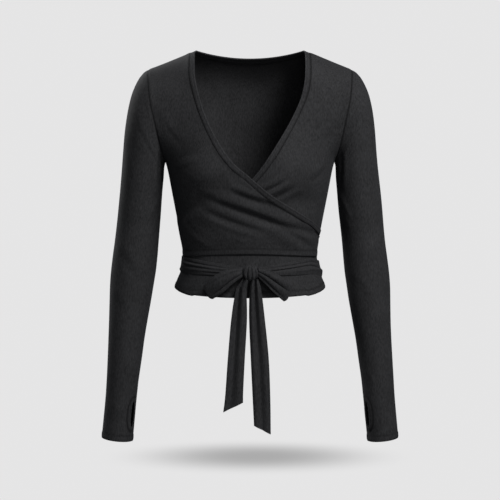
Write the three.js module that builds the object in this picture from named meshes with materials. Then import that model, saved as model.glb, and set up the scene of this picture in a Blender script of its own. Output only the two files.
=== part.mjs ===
// Long-sleeved wrap top of jersey, worn shape with nobody in it, as separate cloth walls.
// Millimetres, +Z up, the front faces -Y. The origin lies midway between the two points
// where the shoulder seams meet the neck, which is where the wearer's shoulders carry it.
import * as THREE from 'three';

// Driving dimensions of the cloth
const WALL = 1.2;                  // wall of the jersey
const SEAM_GAP = 0.3;              // space left between two pieces at a seam
const BINDING_WIDTH = 9;           // folded neck binding
const BINDING_WALL = 1.8;
const OVERLAP_LIFT = 4.3;          // the lapping front lies this far out over the other one

// Driving dimensions of the body of the garment
const NECK_HALF = 94.5;            // centre to the neck end of a shoulder seam
const SHOULDER_HALF = 176;         // centre to the sleeve end of a shoulder seam
const SHOULDER_FALL = 33;          // the sleeve end lies this far below the neck end
const ARMPIT_Z = -191;
const ARMHOLE_FRONT = 55;          // depth of the armhole in front of the shoulder seam
const ARMHOLE_BACK = 57;
const NECK_ROUNDING = 62;          // height in which a panel turns over beside the neck
const BACK_NECK_DIP = 12;
const SECTION_POWER = 0.87;        // below 1 the sections are squarer than an ellipse
const OPEN_SIDE = 0.8;             // how flatly a panel runs into the armhole seam
const ARMHOLE_FADE = 1.6;          // how fast the depth of the armhole gives way to the body's
const WRAP_HEM_Z = -357;           // hem of the lapping front, at its side seams
const WRAP_HEM_RISE = 1;           // and higher by this at its centre, along the shoulder line
const HEM_Z = -410;                // lower hem, at the side seams
const HEM_DIP = 24;                // the front hem hangs this far lower at its centre
const BACK_HEM_DIP = 3;
const TUCKED_ANGLE = 0.4;          // the inner front stops this far, in radians, from the seam
const BUST = { out: 80, z: -208, width: 50, height: 52, rise: 13 };

// Where the lapping front begins to lie over the other one, seen from its neck edge
const OVERLAP_START = 26;
const OVERLAP_RUN = 22;
const TUCK_MARGIN = 0.03;          // the lift is complete this far, in radians, before the tuck
const TIE_REACH_START = 3;         // the inner front turns to the seam this far below the hem
const TIE_REACH_RUN = 12;

// Half width of the body, inside the cloth, and its depths in front and behind
const BODY = [
  { z: 0, half: 177, front: 60, back: 66 },
  { z: -34, half: 176, front: 69, back: 76 },
  { z: -84, half: 171, front: 83, back: 89 },
  { z: -119, half: 164, front: 91, back: 94 },
  { z: -154, half: 156.5, front: 98, back: 95 },
  { z: -180, half: 149.6, front: 102, back: 93 },
  { z: -191, half: 146.4, front: 103, back: 91 },
  { z: -196, half: 144.2, front: 103, back: 90 },
  { z: -210, half: 141.2, front: 103, back: 88 },
  { z: -252, half: 133.6, front: 98, back: 81 },
  { z: -308, half: 122.8, front: 90, back: 73 },
  { z: -336, half: 117.6, front: 87, back: 71 },
  { z: -357, half: 115.6, front: 86.5, back: 71 },
  { z: -378, half: 117.5, front: 88.5, back: 75 },
  { z: -392, half: 124, front: 91.5, back: 80 },
  { z: -410, half: 130.2, front: 95, back: 86 },
  { z: -426, half: 132, front: 98, back: 89 },
];

// Free neck edge of the wearer's right front, from its shoulder to the far side seam
const NECK_EDGE = [
  { x: -94.5, z: -0.6 },
  { x: -94.5, z: -26 },
  { x: -91.6, z: -57 },
  { x: -77.8, z: -107 },
  { x: -55.6, z: -154 },
  { x: -28.5, z: -193 },
  { x: 3.4, z: -219.6 },
  { x: 35.2, z: -245.8 },
  { x: 72.4, z: -270.5 },
  { x: 104, z: -293 },
  { x: 121, z: -313 },
];

const NECK_LINE = NECK_EDGE.slice(1);

// Soft drag folds of the lapping front, from its neck edge down to the hem at the far side
const DRAG_FOLDS = [
  { fromX: -80, fromZ: -246, toX: 96, toZ: -298, width: 9, rise: 2.6 },
  { fromX: -36, fromZ: -232, toX: 30, toZ: -262, width: 7, rise: 1.8 },
  { fromX: -74, fromZ: -268, toX: 40, toZ: -300, width: 10, rise: 1.8 },
];

// One sleeve section a row: outer and inner side of the arm, half depth and middle depth
const SLEEVE = [
  { outX: 184, outZ: -39.2, inX: 148.8, inZ: -195, half: 55.5, y: 1 },
  { outX: 191, outZ: -47.6, inX: 149.8, inZ: -199, half: 55, y: 1 },
  { outX: 198, outZ: -60, inX: 150.2, inZ: -203, half: 54.5, y: 1 },
  { outX: 204.5, outZ: -76, inX: 150.4, inZ: -207, half: 54, y: 1 },
  { outX: 209.5, outZ: -95, inX: 150.6, inZ: -211, half: 53, y: 2 },
  { outX: 213.5, outZ: -117, inX: 150.8, inZ: -216, half: 52, y: 2 },
  { outX: 217, outZ: -143, inX: 151.3, inZ: -223, half: 51, y: 3 },
  { outX: 219.8, outZ: -172, inX: 152.2, inZ: -232, half: 50, y: 4 },
  { outX: 222.5, outZ: -202, inX: 153.4, inZ: -245, half: 48.5, y: 5 },
  { outX: 225.5, outZ: -234, inX: 154.8, inZ: -262, half: 47, y: 6 },
  { outX: 228.5, outZ: -266, inX: 156.6, inZ: -283, half: 45.5, y: 7 },
  { outX: 231.6, outZ: -298, inX: 159, inZ: -306, half: 44.5, y: 8 },
  { outX: 235.4, outZ: -330, inX: 161.6, inZ: -332, half: 44, y: 8 },
  { outX: 239.4, outZ: -358, inX: 163.8, inZ: -358, half: 43.5, y: 7 },
  { outX: 242.6, outZ: -384, inX: 166.4, inZ: -384, half: 43, y: 5 },
  { outX: 244.4, outZ: -408, inX: 170, inZ: -408, half: 42, y: 3 },
  { outX: 245, outZ: -436, inX: 174.2, inZ: -435, half: 40, y: 0 },
  { outX: 245.6, outZ: -470, inX: 180.2, inZ: -468, half: 38, y: -4 },
  { outX: 246.8, outZ: -505, inX: 186.2, inZ: -502, half: 36, y: -8 },
  { outX: 248.6, outZ: -540, inX: 191, inZ: -537, half: 34, y: -12 },
  { outX: 250.6, outZ: -575, inX: 195.8, inZ: -571, half: 32, y: -16 },
  { outX: 251.8, outZ: -596, inX: 198, inZ: -592, half: 31, y: -18 },
  { outX: 252.6, outZ: -608, inX: 199.2, inZ: -604, half: 30.5, y: -19 },
  { outX: 253.4, outZ: -619, inX: 200.2, inZ: -615, half: 30, y: -20 },
  { outX: 254.4, outZ: -632, inX: 201.4, inZ: -629, half: 29.5, y: -21 },
  { outX: 255.4, outZ: -645, inX: 202.6, inZ: -643, half: 29, y: -22 },
  { outX: 256.2, outZ: -655, inX: 203.6, inZ: -654, half: 28.6, y: -23 },
  { outX: 256.9, outZ: -664, inX: 204.6, inZ: -665, half: 28.3, y: -24 },
  { outX: 257.4, outZ: -672, inX: 205.4, inZ: -678, half: 28, y: -25 },
];
const ARMHOLE_BOW_ROWS = 8;         // rows over which the bow of the armhole fades out
const THUMB_HOLE = { firstRow: 23, lastRow: 26, angle: 2.42, halfMiddle: 0.2, halfEnd: 0.08 };

// Waist ties: one row a section, the angle running from the knot round the wearer's own side
const TIE_LAYERS = { inner: 2.6, outer: 4.7 };
const TIE_COURSE = [
  { turn: 0.06, z: -376.5, half: 7.5, crowd: 0 },
  { turn: 0.5, z: -375.5, half: 10, crowd: 0 },
  { turn: 1, z: -373.5, half: 11.5, crowd: 0 },
  { turn: 1.57, z: -372, half: 12.5, crowd: 1 },
  { turn: 2.1, z: -370, half: 13, crowd: 1 },
  { turn: 3.2, z: -366, half: 14, crowd: 1 },
  { turn: 4.1, z: -360, half: 14, crowd: 1 },
  { turn: 4.6, z: -352, half: 13, crowd: 1 },
];
const BACK_TIE_STEP = 9;            // the outer tie lies this much lower across the back

// Knot and bow at the middle of the waist
const KNOT = { x: 0.8, y: -103.8, z: -375.4, halfX: 16, halfY: 11, halfZ: 12.6, power: 4 };
const KNOT_WRINKLE = { count: 9, depth: 0.7 };
const LOOPS = [
  {
    name: 'bow_loop_right',
    side: -1,
    upper: [{ x: 15, z: -367 }, { x: 37, z: -369 }, { x: 60, z: -382 }, { x: 78.5, z: -397.5 }],
    lower: [{ x: 15, z: -383.5 }, { x: 31, z: -396 }, { x: 48, z: -411.5 }, { x: 63.6, z: -420.5 }],
  },
  {
    name: 'bow_loop_left',
    side: 1,
    upper: [{ x: 15, z: -367 }, { x: 34, z: -374 }, { x: 54, z: -385.5 }, { x: 70.5, z: -397.5 }],
    lower: [{ x: 15, z: -383.5 }, { x: 27, z: -396 }, { x: 42, z: -411.5 }, { x: 58.5, z: -425 }],
  },
];
const LOOP_DEPTH = { middleY: -105.2, pinched: 3.4, puffed: 3.6 };
const TAILS = [
  {
    name: 'tie_tail_right',
    rows: [
      { leftX: -13, leftZ: -388.6, rightX: -1.4, rightZ: -388.8, y: -105, curl: 1.5 },
      { leftX: -19.5, leftZ: -398, rightX: -4.4, rightZ: -398, y: -105.5, curl: 2.4 },
      { leftX: -24.5, leftZ: -409, rightX: -5.6, rightZ: -409, y: -105.5, curl: 2.8 },
      { leftX: -31.7, leftZ: -456, rightX: -5, rightZ: -456, y: -105, curl: 3 },
      { leftX: -37.5, leftZ: -523, rightX: -8.7, rightZ: -523, y: -106, curl: 2.2 },
      { leftX: -41.9, leftZ: -585, rightX: -11.4, rightZ: -578, y: -108, curl: 2.6 },
      { leftX: -45.3, leftZ: -613.7, rightX: -11.7, rightZ: -597, y: -109, curl: 3.2 },
    ],
  },
  {
    name: 'tie_tail_left',
    rows: [
      { leftX: 2.6, leftZ: -388.8, rightX: 14.6, rightZ: -388.6, y: -105, curl: 1.5 },
      { leftX: 0.4, leftZ: -398, rightX: 17, rightZ: -398, y: -105.5, curl: 2.4 },
      { leftX: -1, leftZ: -409, rightX: 19.4, rightZ: -409, y: -105.5, curl: 2.8 },
      { leftX: -1.6, leftZ: -456, rightX: 25.1, rightZ: -456, y: -104.5, curl: 3 },
      { leftX: 1.2, leftZ: -523, rightX: 31.7, rightZ: -523, y: -104, curl: 2.2 },
      { leftX: 4.4, leftZ: -590, rightX: 34.4, rightZ: -590, y: -105, curl: 2.6 },
      { leftX: 6.7, leftZ: -637, rightX: 35.2, rightZ: -652, y: -106, curl: 3.2 },
    ],
  },
];

// How finely each piece is divided
const ARMHOLE_STEPS = 11;
const FRONT_COLUMNS = 20;
const BACK_SHOULDER_COLUMNS = 5;
const BACK_NECK_COLUMNS = 14;
const BACK_SIDE_STEPS = 12;
const WRAP_SIDE_STEPS = 9;
const INNER_SIDE_STEPS = 12;
const NECK_ROWS = 17;
const BINDING_COLUMNS = 2;
const TIE_STEPS = 34;
const TIE_COLUMNS = 3;
const LOOP_STEPS = 20;
const LOOP_COLUMNS = 3;
const TAIL_STEPS = 16;
const TAIL_COLUMNS = 4;
const KNOT_RINGS = 9;
const KNOT_SIDES = 20;
const CURVE_SAMPLES = 240;
const SMALL = 1e-3;
const OVER_STEP = 1e-4;             // step that measures how the cloth runs at a place
const HEIGHT_ROUNDS = 14;
const BISECTION_ROUNDS = 32;
const END_STEP = 0.005;
const SEAM_ANGLE = SEAM_GAP / 200;  // half a seam's gap, as an angle at the side of the body
const FIELD_STEEPNESS = 8;          // folds fade out in the last eighth of a row
const FOLD_FADE = 0.7;
const NECK_FADE = 1.6;              // columns of the back leave the neck's spacing this fast
const TAIL_CROWDING = 1.25;         // rows of a tail crowd together below the knot
const KNOT_FIRST_RING = 0.35;

// Colours
const JERSEY = { color: 0x232326, roughness: 0.86, metalness: 0, side: THREE.DoubleSide };

const clamp = (value, low, high) => Math.min(high, Math.max(low, value));
const mix = (a, b, share) => a + (b - a) * share;

function smoothStep(value) {
  const t = clamp(value, 0, 1);
  return t * t * (3 - 2 * t);
}

// A smooth curve through one column of a table, read at a place in another column
function follow(rows, by, column, at) {
  const last = rows.length - 1;
  const way = Math.sign(rows[last][by] - rows[0][by]);
  let k = 0;
  while (k < last - 1 && (at - rows[k + 1][by]) * way > 0) k += 1;
  const slope = (n) => {
    const a = rows[Math.max(0, n - 1)];
    const b = rows[Math.min(last, n + 1)];
    return (b[column] - a[column]) / (b[by] - a[by]);
  };
  const width = rows[k + 1][by] - rows[k][by];
  const t = clamp((at - rows[k][by]) / width, 0, 1);
  const t2 = t * t;
  const t3 = t2 * t;
  const start = (2 * t3 - 3 * t2 + 1) * rows[k][column] + (t3 - 2 * t2 + t) * slope(k) * width;
  const end = (3 * t2 - 2 * t3) * rows[k + 1][column] + (t3 - t2) * slope(k + 1) * width;
  return start + end;
}

// The same for a curve given by points, read by its share of the points
function alongPoints(points, column, share) {
  const rows = points.map((point, n) => ({ n, value: point[column] }));
  return follow(rows, 'n', 'value', share * (points.length - 1));
}

const squared = (value) => Math.sign(value) * Math.abs(value) ** SECTION_POWER;

// Height of the shoulder seams, inside the cloth, at a distance from the centre. The
// middle of the wall is at height 0 where a shoulder seam meets the neck.
function shoulderHeight(x) {
  const share = (Math.abs(x) - NECK_HALF) / (SHOULDER_HALF - NECK_HALF);
  return -WALL / 2 - SHOULDER_FALL * Math.max(0, share);
}

const TIP_Z = shoulderHeight(SHOULDER_HALF);
const ARMHOLE_MIDDLE_Z = (TIP_Z + ARMPIT_Z) / 2;

// How far a panel has turned over from the shoulder seam, 0 on the seam to 1 below it
function turnedOver(x, drop) {
  const share = clamp((Math.abs(x) - NECK_HALF) / (SHOULDER_HALF - NECK_HALF), 0, 1);
  const height = mix(NECK_ROUNDING, TIP_Z - ARMHOLE_MIDDLE_Z, share);
  const left = clamp(1 - drop / height, 0, 1);
  return Math.sqrt(1 - left * left);
}

// The depth of the armhole at a height: full above its middle, none at the armpit
function armholeShare(z) {
  const below = clamp((ARMHOLE_MIDDLE_Z - z) / (ARMHOLE_MIDDLE_Z - ARMPIT_Z), 0, 1);
  return Math.sqrt(1 - below * below);
}

// Share of the half width at an angle round the body. Beside the armhole the panel lies
// open to the side, and below it the panel turns round to the side seam.
function spread(angle, z) {
  const open = OPEN_SIDE * armholeShare(z);
  return mix(squared(Math.cos(angle)), 1 - (2 * angle) / Math.PI, open);
}

function bustRise(x, z) {
  const across = (Math.abs(x) - BUST.out) / BUST.width;
  const up = (z - BUST.z) / BUST.height;
  return BUST.rise * Math.exp(-across * across - up * up);
}

// Inside of the cloth. The angle runs from 0 at the wearer's right side to PI at the left.
function skin(face, angle, z) {
  const x = -follow(BODY, 'z', 'half', z) * spread(angle, z);
  const inward = Math.abs(Math.sin(angle)) ** SECTION_POWER;
  const edge = (face === 'front' ? ARMHOLE_FRONT : ARMHOLE_BACK) * armholeShare(z);
  const depth = follow(BODY, 'z', face, z) * inward + edge * (1 - inward) ** ARMHOLE_FADE;
  const drop = shoulderHeight(x) - z;
  const bust = face === 'front' ? bustRise(x, z) * inward : 0;
  const y = (depth + bust) * turnedOver(x, drop);
  return new THREE.Vector3(x, face === 'front' ? -y : y, z);
}

// The same, by the drop below the shoulder line instead of the height
function heightAt(angle, drop) {
  let z = -drop;
  for (let n = 0; n < HEIGHT_ROUNDS; n += 1) {
    const x = follow(BODY, 'z', 'half', z) * spread(angle, z);
    z = shoulderHeight(x) - drop;
  }
  return z;
}

const skinByDrop = (face, angle, drop) => skin(face, angle, heightAt(angle, drop));

// Outward direction of the skin, away from the seams
function skinDirection(face, angle, drop) {
  const low = Math.max(SMALL, drop);
  const at = skinByDrop(face, angle, low);
  const turned = skinByDrop(face, angle + SMALL, low).sub(at);
  const lower = skinByDrop(face, angle, low + SMALL).sub(at);
  const direction = turned.cross(lower).normalize();
  return direction.dot(fromBody(at)) < 0 ? direction.negate() : direction;
}

function angleAt(x, z) {
  const share = -x / follow(BODY, 'z', 'half', z);
  let low = 0;
  let high = Math.PI;
  for (let n = 0; n < BISECTION_ROUNDS; n += 1) {
    const middle = (low + high) / 2;
    if (spread(middle, z) > share) low = middle;
    else high = middle;
  }
  return (low + high) / 2;
}

const onSkin = (x, z) => ({ angle: angleAt(x, z), drop: shoulderHeight(x) - z });

function sideDrop(z) {
  return shoulderHeight(follow(BODY, 'z', 'half', z)) - z;
}

const armholeZ = (share) => mix(TIP_Z, ARMPIT_Z, (1 - Math.cos(Math.PI * share)) / 2);

// A curve of angle and drop, walked in even steps of its length on the front
function evenSteps(curve, steps) {
  const samples = [];
  let length = 0;
  let before = null;
  for (let n = 0; n <= CURVE_SAMPLES; n += 1) {
    const at = curve(n / CURVE_SAMPLES);
    const point = skinByDrop('front', at.angle, at.drop);
    length += before ? point.distanceTo(before) : 0;
    before = point;
    samples.push({ length, share: n / CURVE_SAMPLES });
  }
  const places = [];
  for (let k = 0; k <= steps; k += 1) {
    const wanted = (length * k) / steps;
    let n = 1;
    while (n < CURVE_SAMPLES && samples[n].length < wanted) n += 1;
    const a = samples[n - 1];
    const b = samples[n];
    places.push(mix(a.share, b.share, clamp((wanted - a.length) / (b.length - a.length), 0, 1)));
  }
  return places;
}

// A curve on the front, moved over the cloth by a distance at right angles to it
function besideCurve(curve, share, distance) {
  const before = curve(Math.max(0, share - SMALL));
  const after = curve(Math.min(1, share + SMALL));
  const at = curve(share);
  const here = skinByDrop('front', at.angle, at.drop);
  const step = OVER_STEP;
  const turned = skinByDrop('front', at.angle + step, at.drop);
  const lower = skinByDrop('front', at.angle, at.drop + step);
  const perAngle = turned.distanceTo(here) / step;
  const perDrop = lower.distanceTo(here) / step;
  const along = new THREE.Vector2((after.angle - before.angle) * perAngle,
    (after.drop - before.drop) * perDrop).normalize();
  return {
    angle: at.angle - (along.y * distance) / perAngle,
    drop: at.drop + (along.x * distance) / perDrop,
  };
}

function neckCurve(share) {
  const x = alongPoints(NECK_EDGE, 'x', share);
  const z = alongPoints(NECK_EDGE, 'z', share);
  const place = onSkin(x, z);
  return { angle: place.angle, drop: share === 0 ? 0 : Math.max(0, place.drop) };
}

// A closed wall from a grid of inner points with their outward directions. Rows or columns
// may close on themselves, a missing cell is a hole, and every free edge is closed.
function clothWall(points, outward, thickness, closed, isHole) {
  const rows = points.length;
  const columns = points[0].length;
  const positions = [];
  for (const lift of [0, 1]) {
    for (let i = 0; i < rows; i += 1) {
      for (let j = 0; j < columns; j += 1) {
        const at = points[i][j].clone().addScaledVector(outward[i][j], lift * thickness(i, j));
        positions.push(at.x, at.y, at.z);
      }
    }
  }
  const cellRows = rows - 1;
  const cellColumns = closed ? columns : columns - 1;
  const inside = (i, j) => i * columns + (j % columns);
  const outside = (i, j) => rows * columns + inside(i, j);
  const present = (i, j) => {
    if (i < 0 || i >= cellRows) return false;
    if (!closed && (j < 0 || j >= cellColumns)) return false;
    return !(isHole && isHole(i, (j + cellColumns) % cellColumns));
  };
  const index = [];
  const quad = (a, b, c, d) => index.push(a, b, c, a, c, d);
  for (let i = 0; i < cellRows; i += 1) {
    for (let j = 0; j < cellColumns; j += 1) {
      if (!present(i, j)) continue;
      quad(outside(i, j), outside(i, j + 1), outside(i + 1, j + 1), outside(i + 1, j));
      quad(inside(i, j), inside(i + 1, j), inside(i + 1, j + 1), inside(i, j + 1));
      if (!present(i - 1, j)) {
        quad(outside(i, j), inside(i, j), inside(i, j + 1), outside(i, j + 1));
      }
      if (!present(i + 1, j)) {
        quad(outside(i + 1, j + 1), inside(i + 1, j + 1), inside(i + 1, j), outside(i + 1, j));
      }
      if (!present(i, j - 1)) {
        quad(outside(i + 1, j), inside(i + 1, j), inside(i, j), outside(i, j));
      }
      if (!present(i, j + 1)) {
        quad(outside(i, j + 1), inside(i, j + 1), inside(i + 1, j + 1), outside(i + 1, j + 1));
      }
    }
  }
  return solid(positions, index);
}

// A geometry whose faces point out
function solid(positions, index) {
  const at = (n) => new THREE.Vector3().fromArray(positions, n * 3);
  let volume = 0;
  for (let n = 0; n < index.length; n += 3) {
    volume += at(index[n]).dot(at(index[n + 1]).cross(at(index[n + 2])));
  }
  const faces = volume > 0 ? index : [...index].reverse();
  const geometry = new THREE.BufferGeometry();
  geometry.setAttribute('position', new THREE.Float32BufferAttribute(positions, 3));
  geometry.setIndex(faces);
  geometry.computeVertexNormals();
  return geometry;
}

// Directions at right angles to a grid of points, away from a middle line along Z
function gridNormals(points, closed, away) {
  const rows = points.length;
  const columns = points[0].length;
  const at = (i, j) => points[clamp(i, 0, rows - 1)][closed ? (j + columns) % columns
    : clamp(j, 0, columns - 1)];
  const normals = points.map((row, i) => row.map((point, j) => {
    const down = at(i + 1, j).clone().sub(at(i - 1, j));
    const over = at(i, j + 1).clone().sub(at(i, j - 1));
    return down.cross(over).normalize();
  }));
  let agreement = 0;
  normals.forEach((row, i) => row.forEach((normal, j) => {
    agreement += normal.dot(away(points[i][j]));
  }));
  if (agreement < 0) normals.forEach((row) => row.forEach((normal) => normal.negate()));
  return normals;
}

const fromBody = (point) => new THREE.Vector3(point.x, point.y, 0);
const forward = () => new THREE.Vector3(0, -1, 0);

// Outward directions on the seams, shared by the pieces that meet there
function shoulderDirection(side) {
  return new THREE.Vector3(side * SHOULDER_FALL, 0, SHOULDER_HALF - NECK_HALF).normalize();
}

function armholeDirection(share, face) {
  const y = Math.sin(Math.PI * share) * (face === 'front' ? -1 : 1);
  return new THREE.Vector3(0, y, Math.cos(Math.PI * share));
}

// How far the lapping front is lifted: only where the inner front lies under it
function overlapLift(point, angle) {
  const under = -follow(NECK_LINE, 'z', 'x', point.z);
  const reached = smoothStep((point.x - under + OVERLAP_START) / OVERLAP_RUN);
  const fromSeam = smoothStep(angle / (TUCKED_ANGLE - TUCK_MARGIN));
  return OVERLAP_LIFT * Math.min(reached, fromSeam);
}

// Rise of the drag folds at a place on the lapping front
function foldRise(x, z) {
  let rise = 0;
  for (const fold of DRAG_FOLDS) {
    const alongX = fold.toX - fold.fromX;
    const alongZ = fold.toZ - fold.fromZ;
    const length = Math.hypot(alongX, alongZ);
    const share = ((x - fold.fromX) * alongX + (z - fold.fromZ) * alongZ) / (length * length);
    const off = ((x - fold.fromX) * alongZ - (z - fold.fromZ) * alongX) / length;
    const body = Math.exp(-((off / fold.width) ** 2));
    rise += fold.rise * body * Math.sin(Math.PI * clamp(share, 0, 1)) ** FOLD_FADE;
  }
  return rise;
}

// One front, in the frame of the wearer's right side, as rows from its own armhole and side
// seam to its neck edge and the far side
function frontGrid(shape) {
  const neckPlaces = evenSteps((share) => neckCurve(share * shape.neckEnd), NECK_ROWS);
  const rows = [];
  const last = ARMHOLE_STEPS + shape.sideSteps;
  const farRows = last - NECK_ROWS;
  for (let i = 0; i <= last; i += 1) {
    const onArmhole = i < ARMHOLE_STEPS;
    const sideShare = (i - ARMHOLE_STEPS) / shape.sideSteps;
    const startZ = onArmhole ? armholeZ(i / ARMHOLE_STEPS) : mix(ARMPIT_Z, shape.hemZ, sideShare);
    const start = { angle: onArmhole ? 0 : SEAM_ANGLE, drop: sideDrop(startZ) };
    let end;
    if (i <= NECK_ROWS) {
      const place = neckPlaces[i] * shape.neckEnd;
      end = besideCurve(neckCurve, place, BINDING_WIDTH + SEAM_GAP);
    } else {
      end = shape.farEdge((i - NECK_ROWS) / farRows);
    }
    const row = [];
    for (let j = 0; j <= FRONT_COLUMNS; j += 1) {
      const share = j / FRONT_COLUMNS;
      const angle = mix(start.angle, end.angle, share);
      const drop = mix(start.drop, end.drop, share);
      const swing = smoothStep((i - NECK_ROWS) / farRows);
      const hem = shape.hemRise * Math.sin(angle) ** 2 * swing;
      row.push({ angle, drop: drop - hem, share });
    }
    rows.push(row);
  }
  return rows;
}

function farSideOfWrap(share) {
  const top = besideCurve(neckCurve, 1, BINDING_WIDTH + SEAM_GAP);
  const angle = Math.PI - 2 * SEAM_ANGLE;
  const z = mix(heightAt(top.angle, top.drop), WRAP_HEM_Z, share);
  return { angle, drop: sideDrop(z) };
}

// The inner front stays clear of the far seam behind the lapping front, and reaches the
// seam only below its hem, behind the tie
function farSideOfInner(share) {
  const startZ = heightAt(Math.PI - TUCKED_ANGLE, neckCurve(INNER_NECK_END).drop) - BINDING_WIDTH;
  const z = mix(startZ, HEM_Z, share);
  const opening = smoothStep((WRAP_HEM_Z - TIE_REACH_START - z) / TIE_REACH_RUN);
  const angle = Math.PI - mix(TUCKED_ANGLE, SEAM_ANGLE, opening);
  const x = follow(BODY, 'z', 'half', z) * spread(angle, z);
  return { angle, drop: shoulderHeight(x) - z };
}

// Share of the neck edge at which the inner front reaches its tucked end
const INNER_NECK_END = (() => {
  let share = 1;
  while (neckCurve(share).angle > Math.PI - TUCKED_ANGLE) share -= END_STEP;
  return share;
})();

const WRAP_FRONT = {
  hemZ: WRAP_HEM_Z,
  hemRise: WRAP_HEM_RISE,
  sideSteps: WRAP_SIDE_STEPS,
  neckEnd: 1,
  farEdge: farSideOfWrap,
};

const INNER_FRONT = {
  hemZ: HEM_Z,
  hemRise: -HEM_DIP,
  sideSteps: INNER_SIDE_STEPS,
  neckEnd: INNER_NECK_END,
  farEdge: farSideOfInner,
};

function mirrorRows(grid) {
  grid.forEach((row) => row.forEach((point) => point.setX(-point.x)));
  return grid;
}

// A front panel: its points, its outward directions and its wall
function frontPanel(shape, side) {
  const places = frontGrid(shape);
  const lapping = side > 0;
  const points = places.map((row) => row.map((place) => skinByDrop('front', place.angle,
    place.drop)));
  const normals = gridNormals(points, false, fromBody);
  shareSeamDirections(normals, 0);
  for (let i = 1; i <= NECK_ROWS; i += 1) {
    const place = places[i][FRONT_COLUMNS];
    normals[i][FRONT_COLUMNS].copy(skinDirection('front', place.angle, place.drop));
  }
  if (lapping) {
    points.forEach((row, i) => row.forEach((point, j) => {
      const lift = overlapLift(point, places[i][j].angle);
      const inField = smoothStep(places[i][j].share * FIELD_STEEPNESS)
        * smoothStep((1 - places[i][j].share) * FIELD_STEEPNESS);
      point.addScaledVector(normals[i][j], lift + foldRise(point.x, point.z) * inField);
    }));
  }
  points[0].forEach((point) => point.setY(-SEAM_GAP / 2));
  if (!lapping) {
    mirrorRows(points);
    mirrorRows(normals);
  }
  return clothWall(points, normals, () => WALL, false);
}

// Seam columns of a front or of one half of the back take the directions of their seams
function shareSeamDirections(normals, column) {
  normals.forEach((row, i) => {
    if (i <= ARMHOLE_STEPS) {
      row[column].copy(armholeDirection(i / ARMHOLE_STEPS, 'front'));
    } else {
      row[column].setY(0).normalize();
    }
  });
  normals[0].forEach((normal, j) => {
    if (j > 0) normal.copy(shoulderDirection(-1));
  });
}

// Folded binding along the neck edge of a front
function frontBinding(neckEnd, side) {
  const places = evenSteps((share) => neckCurve(share * neckEnd), NECK_ROWS);
  const points = places.map((place) => {
    const row = [];
    for (let j = 0; j <= BINDING_COLUMNS; j += 1) {
      const distance = (BINDING_WIDTH * j) / BINDING_COLUMNS;
      const at = besideCurve(neckCurve, place * neckEnd, distance);
      row.push({ ...at, point: skinByDrop('front', at.angle, at.drop) });
    }
    return row;
  });
  const grid = points.map((row) => row.map((entry) => entry.point));
  const normals = points.map((row) => row.map((entry) => skinDirection('front', entry.angle,
    entry.drop)));
  normals[0].forEach((normal) => normal.copy(shoulderDirection(-1)));
  if (side > 0) {
    points.forEach((row, i) => row.forEach((entry, j) => {
      entry.point.addScaledVector(normals[i][j], overlapLift(entry.point, entry.angle));
    }));
  }
  grid[0].forEach((point) => point.setY(-SEAM_GAP / 2));
  if (side < 0) {
    mirrorRows(grid);
    mirrorRows(normals);
  }
  return clothWall(grid, normals, (i, j) => (j === 1 ? BINDING_WALL : WALL), false);
}

// The back, from the wearer's right side seam to the left one
function backNeckPlace(turn, inset) {
  const x = -(NECK_HALF + inset) * Math.cos(turn);
  const drop = BACK_NECK_DIP * Math.sin(turn) ** 2 + inset * Math.sin(turn);
  const z = shoulderHeight(x) - drop;
  return { angle: angleAt(x, z), drop };
}

function backTop() {
  const top = [];
  const inset = BINDING_WIDTH + SEAM_GAP;
  const neck = backNeckPlace(0, inset);
  for (let j = 0; j < BACK_SHOULDER_COLUMNS; j += 1) {
    top.push({ angle: mix(0, neck.angle, j / BACK_SHOULDER_COLUMNS), drop: 0 });
  }
  for (let j = 0; j <= BACK_NECK_COLUMNS; j += 1) {
    top.push(backNeckPlace((Math.PI * j) / BACK_NECK_COLUMNS, inset));
  }
  for (let j = BACK_SHOULDER_COLUMNS - 1; j >= 0; j -= 1) {
    top.push({ angle: Math.PI - mix(0, neck.angle, j / BACK_SHOULDER_COLUMNS), drop: 0 });
  }
  return top;
}

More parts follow.
